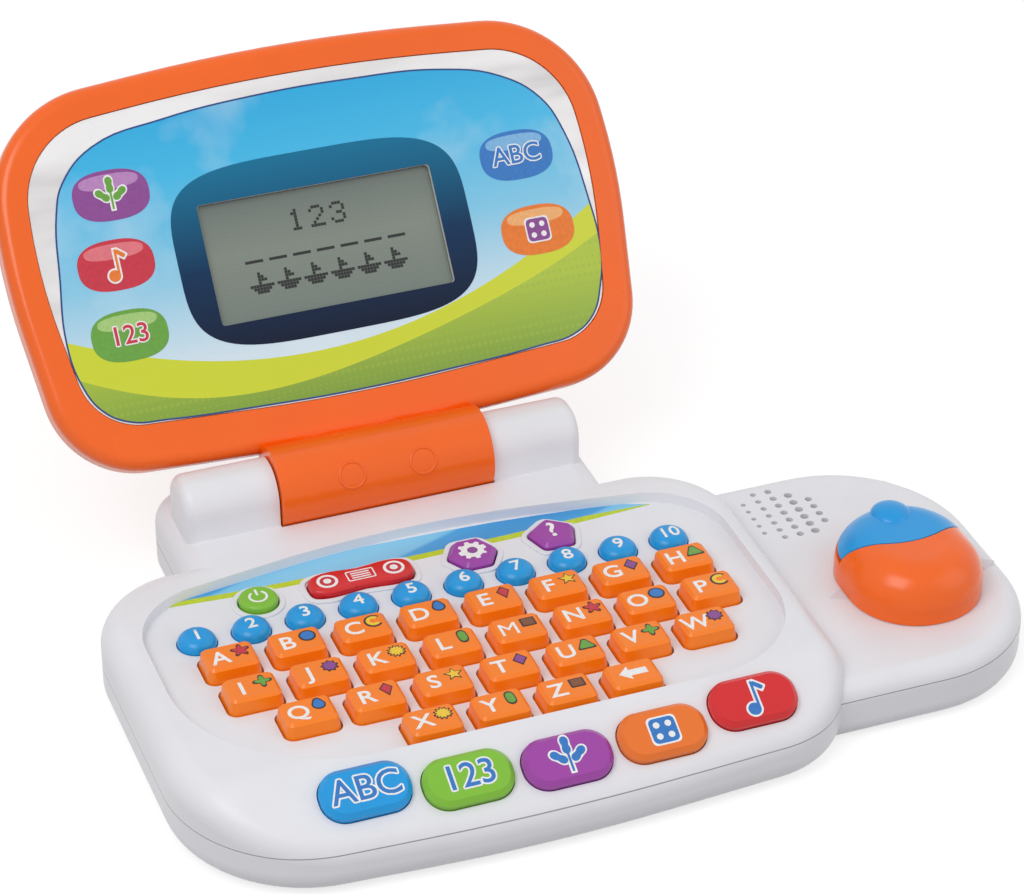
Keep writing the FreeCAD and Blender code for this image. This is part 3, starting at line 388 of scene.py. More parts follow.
def plate(outline, low, high, material=None, bevel=0.0, ring=0.0):
    """Flat piece of an outline in the XY plane, from low to high, or only a ring of it of that width."""
    bpy.ops.object.select_all(action="DESELECT")
    bpy.ops.mesh.primitive_circle_add(vertices=len(outline), radius=1, fill_type="NGON")
    piece = bpy.context.object
    for vertex, (x, y) in zip(piece.data.vertices, outline):
        vertex.co = (x, y, low)
    bpy.ops.object.mode_set(mode="EDIT")
    bpy.ops.mesh.select_all(action="SELECT")
    if ring:
        bpy.ops.mesh.inset(thickness=ring, use_boundary=True, use_even_offset=True)
        bpy.ops.mesh.delete(type="FACE")
        bpy.ops.mesh.select_all(action="SELECT")
    bpy.ops.mesh.extrude_region_move(TRANSFORM_OT_translate={"value": (0, 0, high - low)})
    bpy.ops.mesh.select_all(action="SELECT")
    bpy.ops.mesh.normals_make_consistent(inside=False)
    bpy.ops.object.mode_set(mode="OBJECT")
    if bevel:
        rounding = piece.modifiers.new("edges", "BEVEL")
        rounding.width = bevel
        rounding.segments = 3
        rounding.limit_method = "ANGLE"
        rounding.angle_limit = math.radians(50)
        bpy.ops.object.modifier_apply(modifier=rounding.name)
    if material:
        piece.data.materials.append(material)
    return piece


def cut_out(piece, tool):
    """Takes a tool's shape out of a piece, and removes the tool."""
    only(piece)
    cut = piece.modifiers.new("cut", "BOOLEAN")
    cut.object = tool
    cut.solver = "EXACT"
    bpy.ops.object.modifier_apply(modifier=cut.name)
    bpy.data.objects.remove(tool)
    return piece


def joined(name, pieces):
    """Makes one piece of several."""
    bpy.ops.object.select_all(action="DESELECT")
    for piece in pieces:
        piece.select_set(True)
    bpy.context.view_layer.objects.active = pieces[0]
    if len(pieces) > 1:
        bpy.ops.object.join()
    pieces[0].name = name
    pieces[0].data.name = name
    return pieces[0]


def carried(piece, name, body, place=None):
    """Names a piece, lays it in place and lets it ride on a body."""
    piece.name = name
    piece.data.name = name
    if place is not None:
        lay(piece, place)
    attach(piece, body)
    return piece


# Lettering: how close two of its points may lie, and the area below which a triangle counts as flat
SLIVER = 0.000004
FLAT_AREA = 1e-12
FLAT_TURNS = 12


def turn_flat_faces(piece):
    """Turns the longest edge of each triangle without area, which a fill leaves between corners in line."""
    corners = piece.data.vertices

    def length(pair):
        return (corners[pair[0]].co - corners[pair[1]].co).length

    for _ in range(FLAT_TURNS):
        flat = [face for face in piece.data.polygons if face.area < FLAT_AREA]
        if not flat:
            return
        bpy.ops.object.mode_set(mode="EDIT")
        bpy.ops.mesh.select_mode(type="EDGE")
        bpy.ops.mesh.select_all(action="DESELECT")
        bpy.ops.object.mode_set(mode="OBJECT")
        longest = sorted(max(flat[0].edge_keys, key=length))
        for edge in piece.data.edges:
            edge.select = sorted(edge.vertices) == longest
        bpy.ops.object.mode_set(mode="EDIT")
        bpy.ops.mesh.edge_rotate(use_ccw=False)
        bpy.ops.mesh.select_mode(type="VERT")
        bpy.ops.object.mode_set(mode="OBJECT")


def glyphs(words, size, material, weight=0.0, rise=INK):
    """Plain lettering as a thin mesh about the origin, standing rise above the XY plane."""
    bpy.ops.object.select_all(action="DESELECT")
    bpy.ops.object.text_add()
    piece = bpy.context.object
    piece.data.body = words
    piece.data.size = size
    piece.data.align_x = "CENTER"
    piece.data.align_y = "CENTER"
    piece.data.resolution_u = 4
    piece.data.offset = weight
    piece.data.extrude = rise / 2
    bpy.ops.object.convert(target="MESH")
    piece = bpy.context.object
    bpy.ops.object.mode_set(mode="EDIT")
    bpy.ops.mesh.select_all(action="SELECT")
    bpy.ops.mesh.remove_doubles(threshold=SLIVER)
    bpy.ops.object.mode_set(mode="OBJECT")
    turn_flat_faces(piece)
    lay(piece, Matrix.Translation((0, 0, rise / 2 - SINK)))
    piece.data.materials.append(material)
    return piece


def circle(radius, count=24, x=0.0, y=0.0):
    turns = [math.tau * i / count for i in range(count)]
    return [(x + radius * math.cos(turn), y + radius * math.sin(turn)) for turn in turns]


def polar(reach, count=48, start=math.pi / 2):
    """Closed outline whose reach is a function of the angle."""
    found = []
    for i in range(count):
        turn = math.tau * i / count
        found.append((reach(turn) * math.cos(start + turn), reach(turn) * math.sin(start + turn)))
    return found


def rounded(corners, radius, steps=6):
    """Closed outline of straight sides with rounded corners."""
    found = []
    for i, corner in enumerate(corners):
        here = Vector(corner)
        back = (Vector(corners[i - 1]) - here).normalized()
        ahead = (Vector(corners[(i + 1) % len(corners)]) - here).normalized()
        half = back.angle(ahead) / 2
        reach = min(radius / math.tan(half), (Vector(corners[i - 1]) - here).length * 0.49)
        start = here + back * reach
        end = here + ahead * reach
        for step in range(steps + 1):
            share = step / steps
            bend = start.lerp(here, share).lerp(here.lerp(end, share), share)
            found.append((bend.x, bend.y))
    return found


def block(width, height, radius, x=0.0, y=0.0):
    """Rectangle with rounded corners about a point."""
    corners = [(x - width / 2, y - height / 2), (x + width / 2, y - height / 2),
               (x + width / 2, y + height / 2), (x - width / 2, y + height / 2)]
    return rounded(corners, radius)


def oval(width, height, count=48, power=0.78):
    """Full oval between an ellipse and a rectangle."""
    def eased(part):
        return math.copysign(abs(part) ** power, part)
    turns = [math.tau * i / count for i in range(count)]
    return [(width / 2 * eased(math.cos(t)), height / 2 * eased(math.sin(t))) for t in turns]


def sized(outline, scale):
    return [(x * scale, y * scale) for x, y in outline]


def regular(sides, reach, radius):
    """Regular plan with rounded corners; an odd one has a corner at the back."""
    first = math.pi / 2 if sides % 2 else 0
    turns = [first + math.tau * i / sides for i in range(sides)]
    return rounded([(reach * math.cos(turn), reach * math.sin(turn)) for turn in turns], radius)


def arc_band(inner, outer, start, end, count=20):
    """Open ring between two angles."""
    turns = [math.radians(start + (end - start) * i / count) for i in range(count + 1)]
    out = [(outer * math.cos(t), outer * math.sin(t)) for t in turns]
    return out + [(inner * math.cos(t), inner * math.sin(t)) for t in reversed(turns)]


# Motifs for the caps: outlines about 1 across, each with the ink of its field

MOTIFS = {
    "sun": (polar(lambda t: 0.5 if int(t / math.tau * 48) % 4 < 2 else 0.38), "yellow"),
    "star": (polar(lambda t: 0.54 if int(round(t / math.tau * 10)) % 2 == 0 else 0.24, 10), "yellow"),
    "flower": (polar(lambda t: 0.4 + 0.13 * math.cos(5 * t)), "red"),
    "clover": (polar(lambda t: 0.38 + 0.14 * math.cos(4 * t)), "green"),
    "drop": (polar(lambda t: 0.36 + 0.2 * max(math.cos(t), 0) ** 6), "blue"),
    "leaf": (polar(lambda t: 0.28 + 0.26 * abs(math.cos(t)) ** 3), "green"),
    "diamond": ([(0, 0.52), (-0.4, 0), (0, -0.52), (0.4, 0)], "purple"),
    "ball": (circle(0.45), "blue"),
    "shell": (polar(lambda t: 0.42 + 0.06 * math.cos(9 * t)), "purple"),
    "kite": ([(0, 0.55), (-0.36, 0.12), (0, -0.55), (0.36, 0.12)], "red"),
    "box": (block(0.8, 0.7, 0.08), "brown"),
    "hill": (rounded([(-0.55, -0.4), (0.55, -0.4), (0.12, 0.45), (-0.1, 0.45)], 0.12), "green"),
    "moon": (arc_band(0.24, 0.5, 40, 320), "yellow"),
}


def motif(outline, ink, size):
    """Small picture: a coloured field on a dark ground of the same outline."""
    back = plate(sized(outline, size), -SINK, INK, DARK_INK_AND_SHADE)
    front = plate(sized(outline, size * 0.78), 0, INK * 1.6, INKS[ink])
    return joined("motif", [back, front])


# Letter keys; the font's M has no room for more weight
LETTER_SIZE = 0.0081
LETTER_WEIGHT = 0.00012
LETTER_PLACE = (-0.0030, -0.0007)
PICTURE_SIZE = 0.0056
PICTURE_PLACE = (0.0034, 0.0011)


def cap_place(node, x=0.0, y=0.0):
    """Place on the top of an upright key, from its middle."""
    low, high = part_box(node)
    return Matrix.Translation(((low.x + high.x) / 2 + x, (low.y + high.y) / 2 + y, high.z))


def on_cap(piece, name, node, x=0.0, y=0.0):
    """Print on the top of an upright key."""
    carried(piece, name, node, cap_place(node, x, y))


for i, letter in enumerate("abcdefghijklmnopqrstuvwxyz"):
    node = "key_" + letter
    weight = 0 if letter == "m" else LETTER_WEIGHT
    on_cap(glyphs(letter.upper(), LETTER_SIZE, WHITE_INK, weight), node + "_letter", node, *LETTER_PLACE)
    outline, ink = list(MOTIFS.values())[(i * 5 + 2) % len(MOTIFS)]
    on_cap(motif(outline, ink, PICTURE_SIZE), node + "_picture", node, *PICTURE_PLACE)
arrow = [(-0.0042, 0), (-0.001, 0.003), (-0.001, 0.0013), (0.0042, 0.0013), (0.0042, -0.0013),
         (-0.001, -0.0013), (-0.001, -0.003)]
on_cap(plate(arrow, -SINK, INK, WHITE_INK), "key_erase_arrow", "key_erase")

# Number keys: the figure starts above the dome and is laid down on it
FIGURE_SIZE = 0.0066
FIGURE_WEIGHT = 0.0001
FIGURE_START = 0.002
FIGURE_LIFT = 0.0001
for i in range(1, 11):
    node = "number_%d" % i
    figure = glyphs(str(i), FIGURE_SIZE, WHITE_INK, FIGURE_WEIGHT, 0)
    lay(figure, cap_place(node, 0, -0.0004) @ Matrix.Translation((0, 0, FIGURE_START)))
    bpy.ops.object.mode_set(mode="EDIT")
    bpy.ops.mesh.select_all(action="SELECT")
    bpy.ops.mesh.subdivide(number_cuts=3)
    bpy.ops.object.mode_set(mode="OBJECT")
    wrap = figure.modifiers.new("dome", "SHRINKWRAP")
    wrap.target = nodes[node]
    wrap.wrap_method = "PROJECT"
    wrap.use_project_z = True
    wrap.use_negative_direction = True
    wrap.use_positive_direction = False
    wrap.offset = FIGURE_LIFT
    bpy.ops.object.modifier_apply(modifier=wrap.name)
    skin = figure.modifiers.new("ink", "SOLIDIFY")
    skin.thickness = FIGURE_LIFT + INK
    skin.offset = -1
    bpy.ops.object.modifier_apply(modifier=skin.name)
    carried(figure, node + "_figure", node)

# Control keys: printed strip, white rings and signs
CONTROL_ROW = 0.0125
CONTROL_HEIGHT = 0.0026
NAME_PLACE = -0.0195
NAME_WIDTH = 0.032
NAME_DEPTH = 0.0115
WAIST = 0.24
WAIST_REACH = 0.0065


def waisted(grow, count=72):
    """The name key's plan: a pill drawn in at its middle."""
    found = []
    for x, y in oval(NAME_WIDTH, NAME_DEPTH, count, 0.62):
        drawn_in = 1 - WAIST * math.exp(-(x / WAIST_REACH) ** 2)
        side = max(-1, min(1, y / 0.004))
        found.append((x * (1 + grow / (NAME_WIDTH / 2)), y * drawn_in + grow * side))
    return found


# Place of each key, and its plan grown by a width all round
CONTROLS = {
    "power_key": (-0.051, CONTROL_ROW, lambda grow: circle(0.0058 + grow, 40)),
    "name_key": (NAME_PLACE, CONTROL_ROW, waisted),
    "settings_key": (0.0155, CONTROL_ROW, lambda grow: regular(6, 0.0078 + 1.15 * grow, 0.0022 + grow)),
    "help_key": (0.0415, CONTROL_ROW + 0.001,
                 lambda grow: regular(5, 0.0078 + 1.24 * grow, 0.0022 + grow)),
}
# Lower and upper edge of the printed strip, in millimetres, and the height of the line along its lower edge
STRIP_LOW = [(-79.7, 20.0), (-69.7, 19.2), (-57.5, 18.2), (-40, 17.6), (-20, 17.2), (1, 17.1),
             (30.5, 17.4), (54.8, 18.4), (75.4, 19.6)]
STRIP_HIGH = [(67.4, 22.8), (55.9, 24.6), (42, 26.2), (28.3, 27.4), (13, 28.2), (-2, 28.7), (-17, 29.1),
              (-31.9, 29.2), (-45, 28.8), (-57, 27.8), (-67.9, 25.6)]
LINE_WIDTH = 2.4


STRIP_INK = 0.00006
STRIP_CLEAR = 0.0009
CUT_OVER = 0.002
RING_GROW = 0.0021
RING_WIDTH = 0.0017
RING_FOOT = 0.0001
RING_RISE = 0.0007
RING_EDGE = 0.0003


def strip(name, outline, material):
    """Print on the keyboard's floor, cut out round the control keys."""
    flat = [(x * MM, y * MM) for x, y in outline]
    piece = plate(flat, KEY_FLOOR - FIELD_SINK, KEY_FLOOR + STRIP_INK, material)
    cutters = []
    for x, y, plan in CONTROLS.values():
        cutter = plate(plan(STRIP_CLEAR), KEY_FLOOR - CUT_OVER, KEY_FLOOR + CUT_OVER)
        cutters.append(lay(cutter, Matrix.Translation((x, y, 0))))
    cut_out(piece, joined("strip_cutter", cutters))
    carried(piece, name, "base")


line_top = []
for x, y in STRIP_LOW:
    taper = min(1, (79.7 + x) / 12 + 0.15, (75.4 - x) / 12 + 0.15)
    line_top.append((x, y + LINE_WIDTH * taper))
strip("strip_line", STRIP_LOW + line_top[::-1], LIME_INK)
strip("strip_field", line_top + STRIP_HIGH, strip_print())
for node, (x, y, plan) in CONTROLS.items():
    ring = plate(plan(RING_GROW), KEY_FLOOR - RING_FOOT, KEY_FLOOR + RING_RISE, FINISHES["white_shell"],
                 RING_EDGE, RING_WIDTH)
    carried(ring, node + "_ring", "base", Matrix.Translation((x, y, 0)))

power = [plate(arc_band(0.0022, 0.0029, 125, 415), -SINK, INK, WHITE_INK),
         plate(block(0.0007, 0.003, 0.0003, 0, 0.0021), -SINK, INK, WHITE_INK)]
on_cap(joined("power_sign", power), "power_sign", "power_key")
teeth = polar(lambda t: 0.0044 if int(t / math.tau * 48) % 6 < 3 else 0.0034)
gear = [plate(teeth, -SINK, INK, WHITE_INK), plate(circle(0.0016), 0, INK * 1.5, INKS["purple"])]
on_cap(joined("settings_sign", gear), "settings_sign", "settings_key")
on_cap(glyphs("?", 0.0098, WHITE_INK, 0.00014), "help_sign", "help_key")
cap = plate(waisted(0), KEY_FLOOR - 0.0015, KEY_FLOOR + CONTROL_HEIGHT, FINISHES["red_key"], 0.0012)
bpy.ops.object.shade_smooth_by_angle(angle=math.radians(40))
carried(cap, "name_cap", "name_key", Matrix.Translation((NAME_PLACE, CONTROL_ROW, 0)))
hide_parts("name_key")
card = [plate(block(0.0086, 0.0048, 0.0006), -SINK, INK, WHITE_INK, ring=0.0004)]
for y in (0.0011, 0, -0.0011):
    card.append(plate(block(0.0058, 0.0005, 0.0002, 0, y), -SINK, INK, WHITE_INK))
for x in (-0.0103, 0.0103):
    card.append(plate(circle(0.0032, 32, x), -SINK, INK, WHITE_INK))
    card.append(plate(circle(0.0023, 32, x), 0, INK * 1.5, INKS["red"]))
    card.append(plate(circle(0.0012, 24, x), 0, INK * 2, WHITE_INK))
on_cap(joined("name_sign", card), "name_sign", "name_key")

# Mode keys on the front slope, in a row that bows towards its ends
SLOPE = math.radians(27)
SLOPE_TOP = 0.0275
SLOPE_START = 0.071
MODE_ROW = 0.084
MODE_BOW = 0.001
MODE_MIDDLE = 0.0077
MODE_STEP = 0.0288
MODE_HEIGHT = 0.0032


def mode_place(step):
    """Place on the top of a mode key, counted from the middle one."""
    y = -(MODE_ROW - step ** 2 * MODE_BOW)
    z = SLOPE_TOP + (SLOPE_START + y) * math.tan(SLOPE)
    foot = Matrix.Translation((MODE_MIDDLE + step * MODE_STEP, y, z)) @ Matrix.Rotation(SLOPE, 4, "X")
    return foot @ Matrix.Translation((0, 0, MODE_HEIGHT))


# White edges of the signs as shares of a sign's size, and the steps in height that keep layers apart
GLYPH_EDGE = 0.048
EDGE_COPIES = 12
EDGE_STEP = 1 / 40
SIGN_EDGE = 0.06
LAYER_STEP = 0.04
SIGN_RISE = 1.8


def edged_glyphs(words, size, ink, weight):
    """Lettering with a broad white edge, which white copies make that are set round it."""
    layers = [glyphs(words, size, ink, weight, INK * SIGN_RISE)]
    shift = size * GLYPH_EDGE
    for i in range(EDGE_COPIES):
        turn = math.tau * i / EDGE_COPIES
        copy = glyphs(words, size, WHITE_INK, weight, INK * (1 + i * EDGE_STEP))
        layers.append(lay(copy, Matrix.Translation((shift * math.cos(turn), shift * math.sin(turn), 0))))
    return joined("edged", layers)


def two_tone(name, draw, ink):
    """Sign in one ink on a broader white ground; draw gives the plates for a share grown and a height."""
    return joined(name, draw(SIGN_EDGE, INK, WHITE_INK) + draw(0, INK * SIGN_RISE, ink))


def turned(x, y, degrees, z=0.0):
    """Place at a point, turned about the vertical."""
    return Matrix.Translation((x, y, z)) @ Matrix.Rotation(math.radians(degrees), 4, "Z")


def leaf_sign(size, ink):
    """Spray of three leaves."""
    def draw(grow, high, colour):
        stem = block(size * (0.07 + 2 * grow), size * (0.74 + 2 * grow), size * 0.03, 0, -size * 0.12)
        layers = [plate(stem, -SINK, high, colour)]
        for x, y, turn in ((0, 0.36, 0), (-0.3, 0.02, 50), (0.3, 0.02, -50)):
            outline = polar(lambda t: size * (0.1 + grow + 0.18 * abs(math.cos(t)) ** 2.4))
            blade = plate(outline, -SINK, high * (1 + LAYER_STEP * len(layers)), colour)
            layers.append(lay(blade, turned(size * x, size * y, turn)))
        return layers
    return two_tone("leaves", draw, ink)


def block_sign(size, ink):
    """Rounded block with four white pips."""
    def draw(grow, high, colour):
        side = size * (0.88 + 2 * grow)
        return [plate(block(side, side, size * 0.2), -SINK, high, colour)]
    sign = [two_tone("block", draw, ink)]
    for x in (-0.2, 0.2):
        for y in (-0.2, 0.2):
            sign.append(plate(circle(size * 0.11, 16, size * x, size * y), 0, INK * 2.4, WHITE_INK))
    return joined("block", sign)


def note_sign(size, ink):
    """Single note with its flag."""
    def draw(grow, high, colour):
        stem = block(size * (0.08 + 2 * grow), size * (0.9 + 2 * grow), size * 0.03, size * 0.04, size * 0.07)
        flag = block(size * (0.36 + 2 * grow), size * (0.14 + 2 * grow), size * 0.06)
        head = circle(size * (0.2 + grow), 32, -size * 0.12, -size * 0.36)
        layers = [plate(head, -SINK, high, colour), plate(stem, -SINK, high * (1 + LAYER_STEP), colour)]
        hung = plate(flag, -SINK, high * (1 + 2 * LAYER_STEP), colour)
        return layers + [lay(hung, turned(size * 0.2, size * 0.36, -38))]
    return two_tone("note", draw, ink)


MODE_SIGNS = {
    "mode_letters": edged_glyphs("ABC", 0.0105, INKS["blue"], 0.00008),
    "mode_numbers": edged_glyphs("123", 0.0105, INKS["blue"], 0.00008),
    "mode_nature": leaf_sign(0.0096, INKS["blue"]),
    "mode_logic": block_sign(0.0088, INKS["blue"]),
    "mode_music": note_sign(0.0096, INKS["blue"]),
}
for i, (node, sign) in enumerate(MODE_SIGNS.items()):
    carried(sign, node + "_sign", node, mode_place(i - 2))

# Lid: panel print, surround of the display, badges and the display's picture
PRINT_EDGE = [(-79.7, 93.2), (-76, 102), (-64.8, 111.5), (-42, 116.2), (-13.1, 118.5), (18, 118.6),
              (47.8, 116.6), (66, 111.5), (77.5, 102.5), (82.6, 91), (85.6, 70), (85.8, 51), (83.2, 41.4),
              (78.6, 32.5), (71, 27.7), (60, 26.3), (30, 24.7), (0, 23.95), (-30, 24.7), (-60, 26.3),
              (-71, 27.7), (-78.6, 32.5), (-83.2, 41.4), (-85, 54), (-82.8, 74)]
# Width and height of the painted shadow line round the print's edge
EDGE_SHADOW_WIDTH = 0.0005
EDGE_SHADOW_RISE = 0.00014
SURROUND_INK = 0.00016
SURROUND_WIDTH = 0.0932
SURROUND_HEIGHT = 0.0566
SURROUND_MIDDLE = 0.0708
WINDOW_MIDDLE = 0.0695
WINDOW = block(0.0745, WINDOW_SPAN, 0.0015, 0, WINDOW_MIDDLE)


def smooth_outline(points):
    """Closed flat curve through points in millimetres, as an outline."""
    curve = bpy.data.curves.new("outline", "CURVE")
    curve.dimensions = "2D"
    curve.fill_mode = "NONE"
    curve.resolution_u = 6
    spline = curve.splines.new("BEZIER")
    spline.bezier_points.add(len(points) - 1)
    spline.use_cyclic_u = True
    for knot, (x, y) in zip(spline.bezier_points, points):
        knot.co = (x * MM, y * MM, 0)
        knot.handle_left_type = "AUTO"
        knot.handle_right_type = "AUTO"
    thing = bpy.data.objects.new("outline", curve)
    bpy.context.scene.collection.objects.link(thing)
    bpy.context.view_layer.update()
    made = bpy.data.meshes.new_from_object(thing.evaluated_get(bpy.context.evaluated_depsgraph_get()))
    found = [(vertex.co.x, vertex.co.y) for vertex in made.vertices]
    bpy.data.objects.remove(thing)
    bpy.data.meshes.remove(made)
    return found


def pierced(outline, hole, low, high, material):
    """Plate with a hole."""
    piece = plate(outline, low, high, material)
    return cut_out(piece, plate(hole, low - CUT_OVER, high + CUT_OVER))


print_edge = smooth_outline(PRINT_EDGE)
surround_edge = [(x, y + SURROUND_MIDDLE) for x, y in oval(SURROUND_WIDTH, SURROUND_HEIGHT, 96, 0.5)]
sky = pierced(print_edge, surround_edge, PANEL_FACE - FIELD_SINK, PANEL_FACE + INK, sky_print())
carried(sky, "panel_print", "lid", LID)
# Thin navy ring round the print's edge: painted shadow line along it
edge_shadow = plate(print_edge, PANEL_FACE, PANEL_FACE + EDGE_SHADOW_RISE, NAVY_EDGE_SHADOW, ring=EDGE_SHADOW_WIDTH)
carried(edge_shadow, "print_edge_shadow", "lid", LID)
frame_print = pierced(surround_edge, WINDOW, PANEL_FACE - FIELD_SINK, PANEL_FACE + SURROUND_INK,
                      screen_surround())
carried(frame_print, "screen_surround", "lid", LID)

# Badges: place on the lid in millimetres, field and mark
BADGES = [
    ("nature", -62, 96, "purple", lambda: leaf_sign(0.0088, INKS["green"])),
    ("music", -65, 75, "red", lambda: note_sign(0.009, INKS["amber"])),
    ("numbers", -65.5, 53.5, "green", lambda: edged_glyphs("123", 0.0082, INKS["red"], 0.00006)),
    ("letters", 65.5, 86, "blue", lambda: edged_glyphs("ABC", 0.0082, INKS["blue"], 0.00006)),
    ("logic", 67, 62, "amber", lambda: block_sign(0.008, INKS["purple"])),
]
BADGE_WIDTH = 0.0236
BADGE_HEIGHT = 0.0154
for name, x, y, ink, draw_mark in BADGES:
    field = plate(oval(BADGE_WIDTH, BADGE_HEIGHT), 0, INK, INKS[ink])
    # Lighter oval on the badge's upper part: painted highlight
    painted_highlight = plate(oval(BADGE_WIDTH * 0.78, BADGE_HEIGHT * 0.3), 0, INK * 1.3, PAINTED_HIGHLIGHTS[ink])
    lay(painted_highlight, Matrix.Translation((0, BADGE_HEIGHT * 0.27, 0)))
    mark = lay(draw_mark(), Matrix.Translation((0, 0, INK * 1.5)))
    badge = joined("badge_" + name, [field, painted_highlight, mark])
    carried(badge, "badge_" + name, "lid",
            LID @ Matrix.Translation((x * MM, y * MM, PANEL_FACE + INK)))

# Display picture: figures, a dashed line and a row of boats, in cells counted from the window's middle
CELL = 0.00095
CELL_GAP = 0.00008
CELL_RISE = 0.00006
FIGURES = [
    ["..#..", ".##..", "..#..", "..#..", "..#..", "..#..", ".###."],
    [".###.", "#...#", "....#", "...#.", "..#..", ".#...", "#####"],
    [".###.", "#...#", "....#", "..##.", "....#", "#...#", ".###."],
]
BOAT = ["...#....", "...##...", "...###..", "...#....", "########", ".######.", "..####.."]
BOATS = 6
DASHES = 7
tiles = []


def tile(column, row, across=1):
    """Dark cell, or a run of cells, of the display."""
    width = across * CELL - CELL_GAP
    x = (column + across / 2) * CELL
    outline = block(width, CELL - CELL_GAP, CELL_GAP / 2, x, WINDOW_MIDDLE + row * CELL)
    tiles.append(plate(outline, GLASS_FACE - SINK, GLASS_FACE + CELL_RISE, PIXEL_INK))


def stamp(rows, column, top):
    """Cells of a small picture, from its top left corner."""
    for down, line in enumerate(rows):
        for along, mark in enumerate(line):
            if mark == "#":
                tile(column + along, top - down)


for i, rows in enumerate(FIGURES):
    stamp(rows, 7 * (i - 1) - 3, 13)
for i in range(DASHES):
    tile(8 * i - 27, -1, 6)
for i in range(BOATS):
    stamp(BOAT, 9 * i - 27, -5)
carried(joined("display_picture", tiles), "display_picture", "lid", LID)

# Drum: two shallow moulded rings that follow its round
DRUM_RADIUS = 0.0127
DRUM_RING_UP = math.radians(31)
DRUM_RING_RADIUS = 0.004
DRUM_RING_BEAD = 0.00045
DRUM_RINGS = {"drum_ring_left": -0.01125, "drum_ring_right": 0.01125}
for name, middle in DRUM_RINGS.items():
    bpy.ops.object.select_all(action="DESELECT")
    bpy.ops.mesh.primitive_torus_add(major_radius=DRUM_RING_RADIUS, minor_radius=DRUM_RING_BEAD,
                                     major_segments=48, minor_segments=8)
    ring = bpy.context.object
    for vertex in ring.data.vertices:
        turn = DRUM_RING_UP + vertex.co.y / DRUM_RADIUS
        reach = DRUM_RADIUS + vertex.co.z * 0.7
        vertex.co = (middle + vertex.co.x, HINGE.y - reach * math.cos(turn), HINGE.z + reach * math.sin(turn))
    bpy.ops.object.shade_smooth()
    ring.data.materials.append(FINISHES["orange_shell"])
    carried(ring, name, "lid")

# Deck: embossed arrow heads beside the mouse, in a darker white that paints the shade of their relief
MOUSE_ROW = -0.0375
ARROW_HEAD = rounded([(0, 0.0032), (-0.0032, -0.002), (0.0032, -0.002)], 0.0004, 3)
for name, x, degrees in (("deck_mark_left", 0.112, 90), ("deck_mark_right", 0.1605, -90)):
    mark = plate(ARROW_HEAD, -0.0001, 0.0002, DECK_MARK_SHADE, 0.0001)
    carried(mark, name, "base", turned(x, MOUSE_ROW, degrees, DECK_TOP))

# Mouse button: raised finger rest, cut off below the button's surface
REST_REACH = (0.0062, 0.0066, 0.0032)
REST_FOOT = -0.0015
REST_PLACE = (0.1348, -0.0238, 0.0338)
bpy.ops.object.select_all(action="DESELECT")
bpy.ops.mesh.primitive_uv_sphere_add(segments=32, ring_count=20, radius=1)
rest = bpy.context.object
for vertex in rest.data.vertices:
    vertex.co = [part * reach for part, reach in zip(vertex.co, REST_REACH)]
bpy.ops.object.mode_set(mode="EDIT")
bpy.ops.mesh.select_all(action="SELECT")
bpy.ops.mesh.bisect(plane_co=(0, 0, REST_FOOT), plane_no=(0, 0, 1), clear_inner=True, use_fill=True)
bpy.ops.object.mode_set(mode="OBJECT")
bpy.ops.object.shade_smooth_by_angle(angle=math.radians(40))
rest.data.materials.append(FINISHES["blue_key"])
carried(rest, "finger_rest", "mouse_button", Matrix.Translation(REST_PLACE))

# Screws: a dark cross on each head, which faces down, painted as the shade in its cross slot; places in
# millimetres
SCREWS = [(-90.5, -28.8), (-90.5, 7.2), (93.33, -43.2), (93.33, 14.4), (-58, 69.5), (58, 69.5),
          (149, -62.5), (149, 11)]
CROSS_LOW, CROSS_HIGH = 0.00393, 0.00402
CROSS_LONG, CROSS_THIN = 0.0034, 0.0008
slot_shades = []
for x, y in SCREWS:
    for width, depth in ((CROSS_LONG, CROSS_THIN), (CROSS_THIN, CROSS_LONG)):
        arm = block(width, depth, 0.0002, x * MM, y * MM)
        slot_shades.append(plate(arm, CROSS_LOW, CROSS_HIGH, DARK_INK_AND_SHADE))
carried(joined("screw_slot_shades", slot_shades), "screw_slot_shades", "base")

# Studio: floor, light and camera
FLOOR_DROP = -0.0002
FLOOR_GREY = 0.42
FLOOR_GLOW = 0.7
WORLD_LIGHT = 0.62


def seen_ray(tree):
    """1 for a ray that shows the background, directly or in gloss or glass; 0 for light on the object."""
    path = tree.nodes.new("ShaderNodeLightPath").outputs
    gloss = maths(tree, "MAXIMUM", path["Is Glossy Ray"], path["Is Transmission Ray"])
    return maths(tree, "MAXIMUM", path["Is Camera Ray"], gloss)


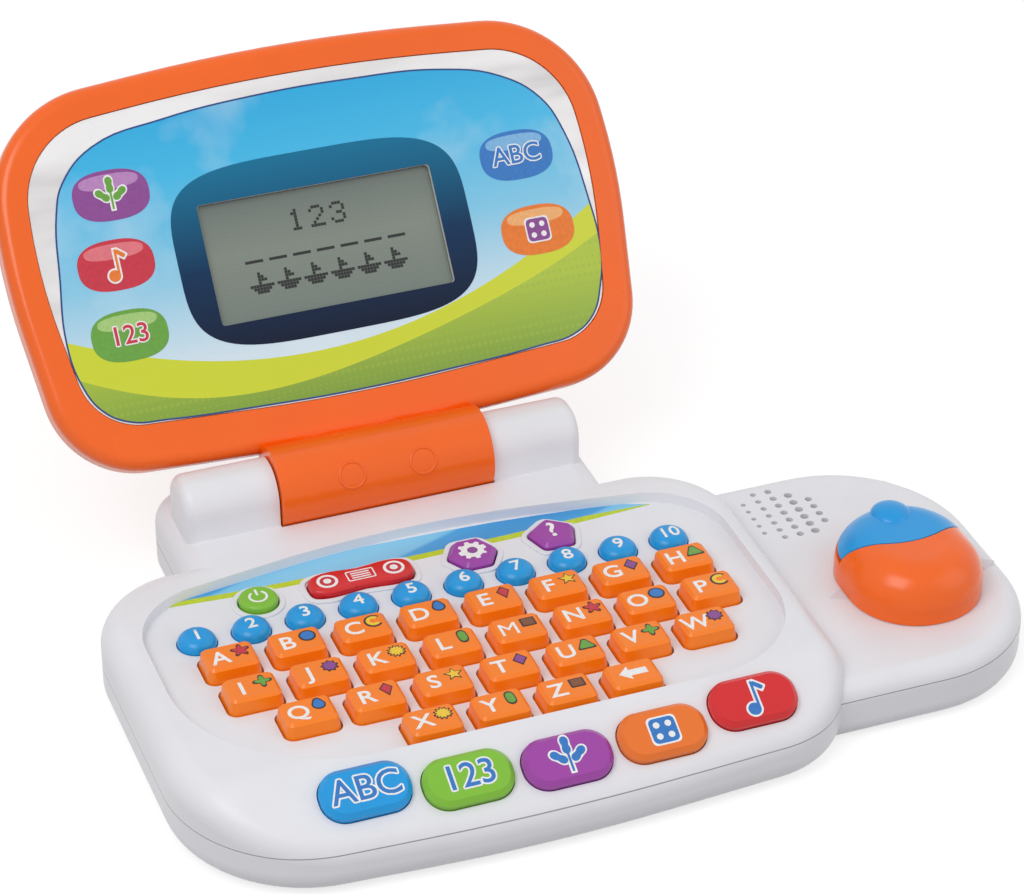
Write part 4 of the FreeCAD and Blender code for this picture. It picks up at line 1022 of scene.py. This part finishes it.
bpy.ops.object.select_all(action="DESELECT")
bpy.ops.mesh.primitive_plane_add(size=8, location=(0, 0, FLOOR_DROP))
floor = bpy.context.object
floor.name = "studio_floor"
floor_paint, tree, shader, place = fresh("studio_floor")
shader.inputs["Base Color"].default_value = (FLOOR_GREY, FLOOR_GREY, FLOOR_GREY, 1)
shader.inputs["Roughness"].default_value = 0.9
shader.inputs["Specular IOR Level"].default_value = 0.0
shader.inputs["Emission Color"].default_value = (1, 1, 1, 1)
tree.links.new(maths(tree, "MULTIPLY", seen_ray(tree), FLOOR_GLOW), shader.inputs["Emission Strength"])
floor.data.materials.append(floor_paint)

world = bpy.context.scene.world or bpy.data.worlds.new("studio")
bpy.context.scene.world = world
world.use_nodes = True
backdrop = world.node_tree.nodes["Background"]
backdrop.inputs["Color"].default_value = (1, 1, 1, 1)
glow = maths(world.node_tree, "MULTIPLY_ADD", seen_ray(world.node_tree), 1 - WORLD_LIGHT, WORLD_LIGHT)
world.node_tree.links.new(glow, backdrop.inputs["Strength"])


def lamp(name, place, aim, power, size):
    """Square lamp at a place, aimed at a point."""
    light = bpy.data.lights.new(name, "AREA")
    light.energy = power
    light.size = size
    thing = bpy.data.objects.new(name, light)
    bpy.context.scene.collection.objects.link(thing)
    thing.location = place
    thing.rotation_euler = (Vector(aim) - Vector(place)).to_track_quat("-Z", "Y").to_euler()


lamp("key_light", (-0.7, -0.5, 1.2), (0.03, 0, 0.03), 6.8, 0.8)
lamp("fill_light", (0.9, -0.6, 0.7), (0.03, 0, 0.05), 1.6, 0.9)

# Camera's place, its axes before the roll, and the roll
CAMERA_PLACE = (-0.2927, -0.8290, 0.6579)
CAMERA_RIGHT = Vector((0.93445, -0.35610, 0))
CAMERA_UP = Vector((0.19687, 0.51661, 0.83329))
CAMERA_BACK = Vector((-0.29673, -0.77866, 0.55285))
CAMERA_ROLL = math.radians(0.17)
lens = bpy.data.cameras.new("camera")
lens.sensor_width = 36
lens.lens = 129.9
lens.clip_start = 0.01
camera = bpy.data.objects.new("camera", lens)
bpy.context.scene.collection.objects.link(camera)
right = CAMERA_RIGHT * math.cos(CAMERA_ROLL) + CAMERA_UP * math.sin(CAMERA_ROLL)
up = CAMERA_UP * math.cos(CAMERA_ROLL) - CAMERA_RIGHT * math.sin(CAMERA_ROLL)
axes = Matrix((right, up, CAMERA_BACK)).transposed().to_4x4()
camera.matrix_world = Matrix.Translation(CAMERA_PLACE) @ axes
bpy.context.scene.camera = camera
bpy.context.scene.view_settings.view_transform = "Standard"

bpy.context.view_layer.update()
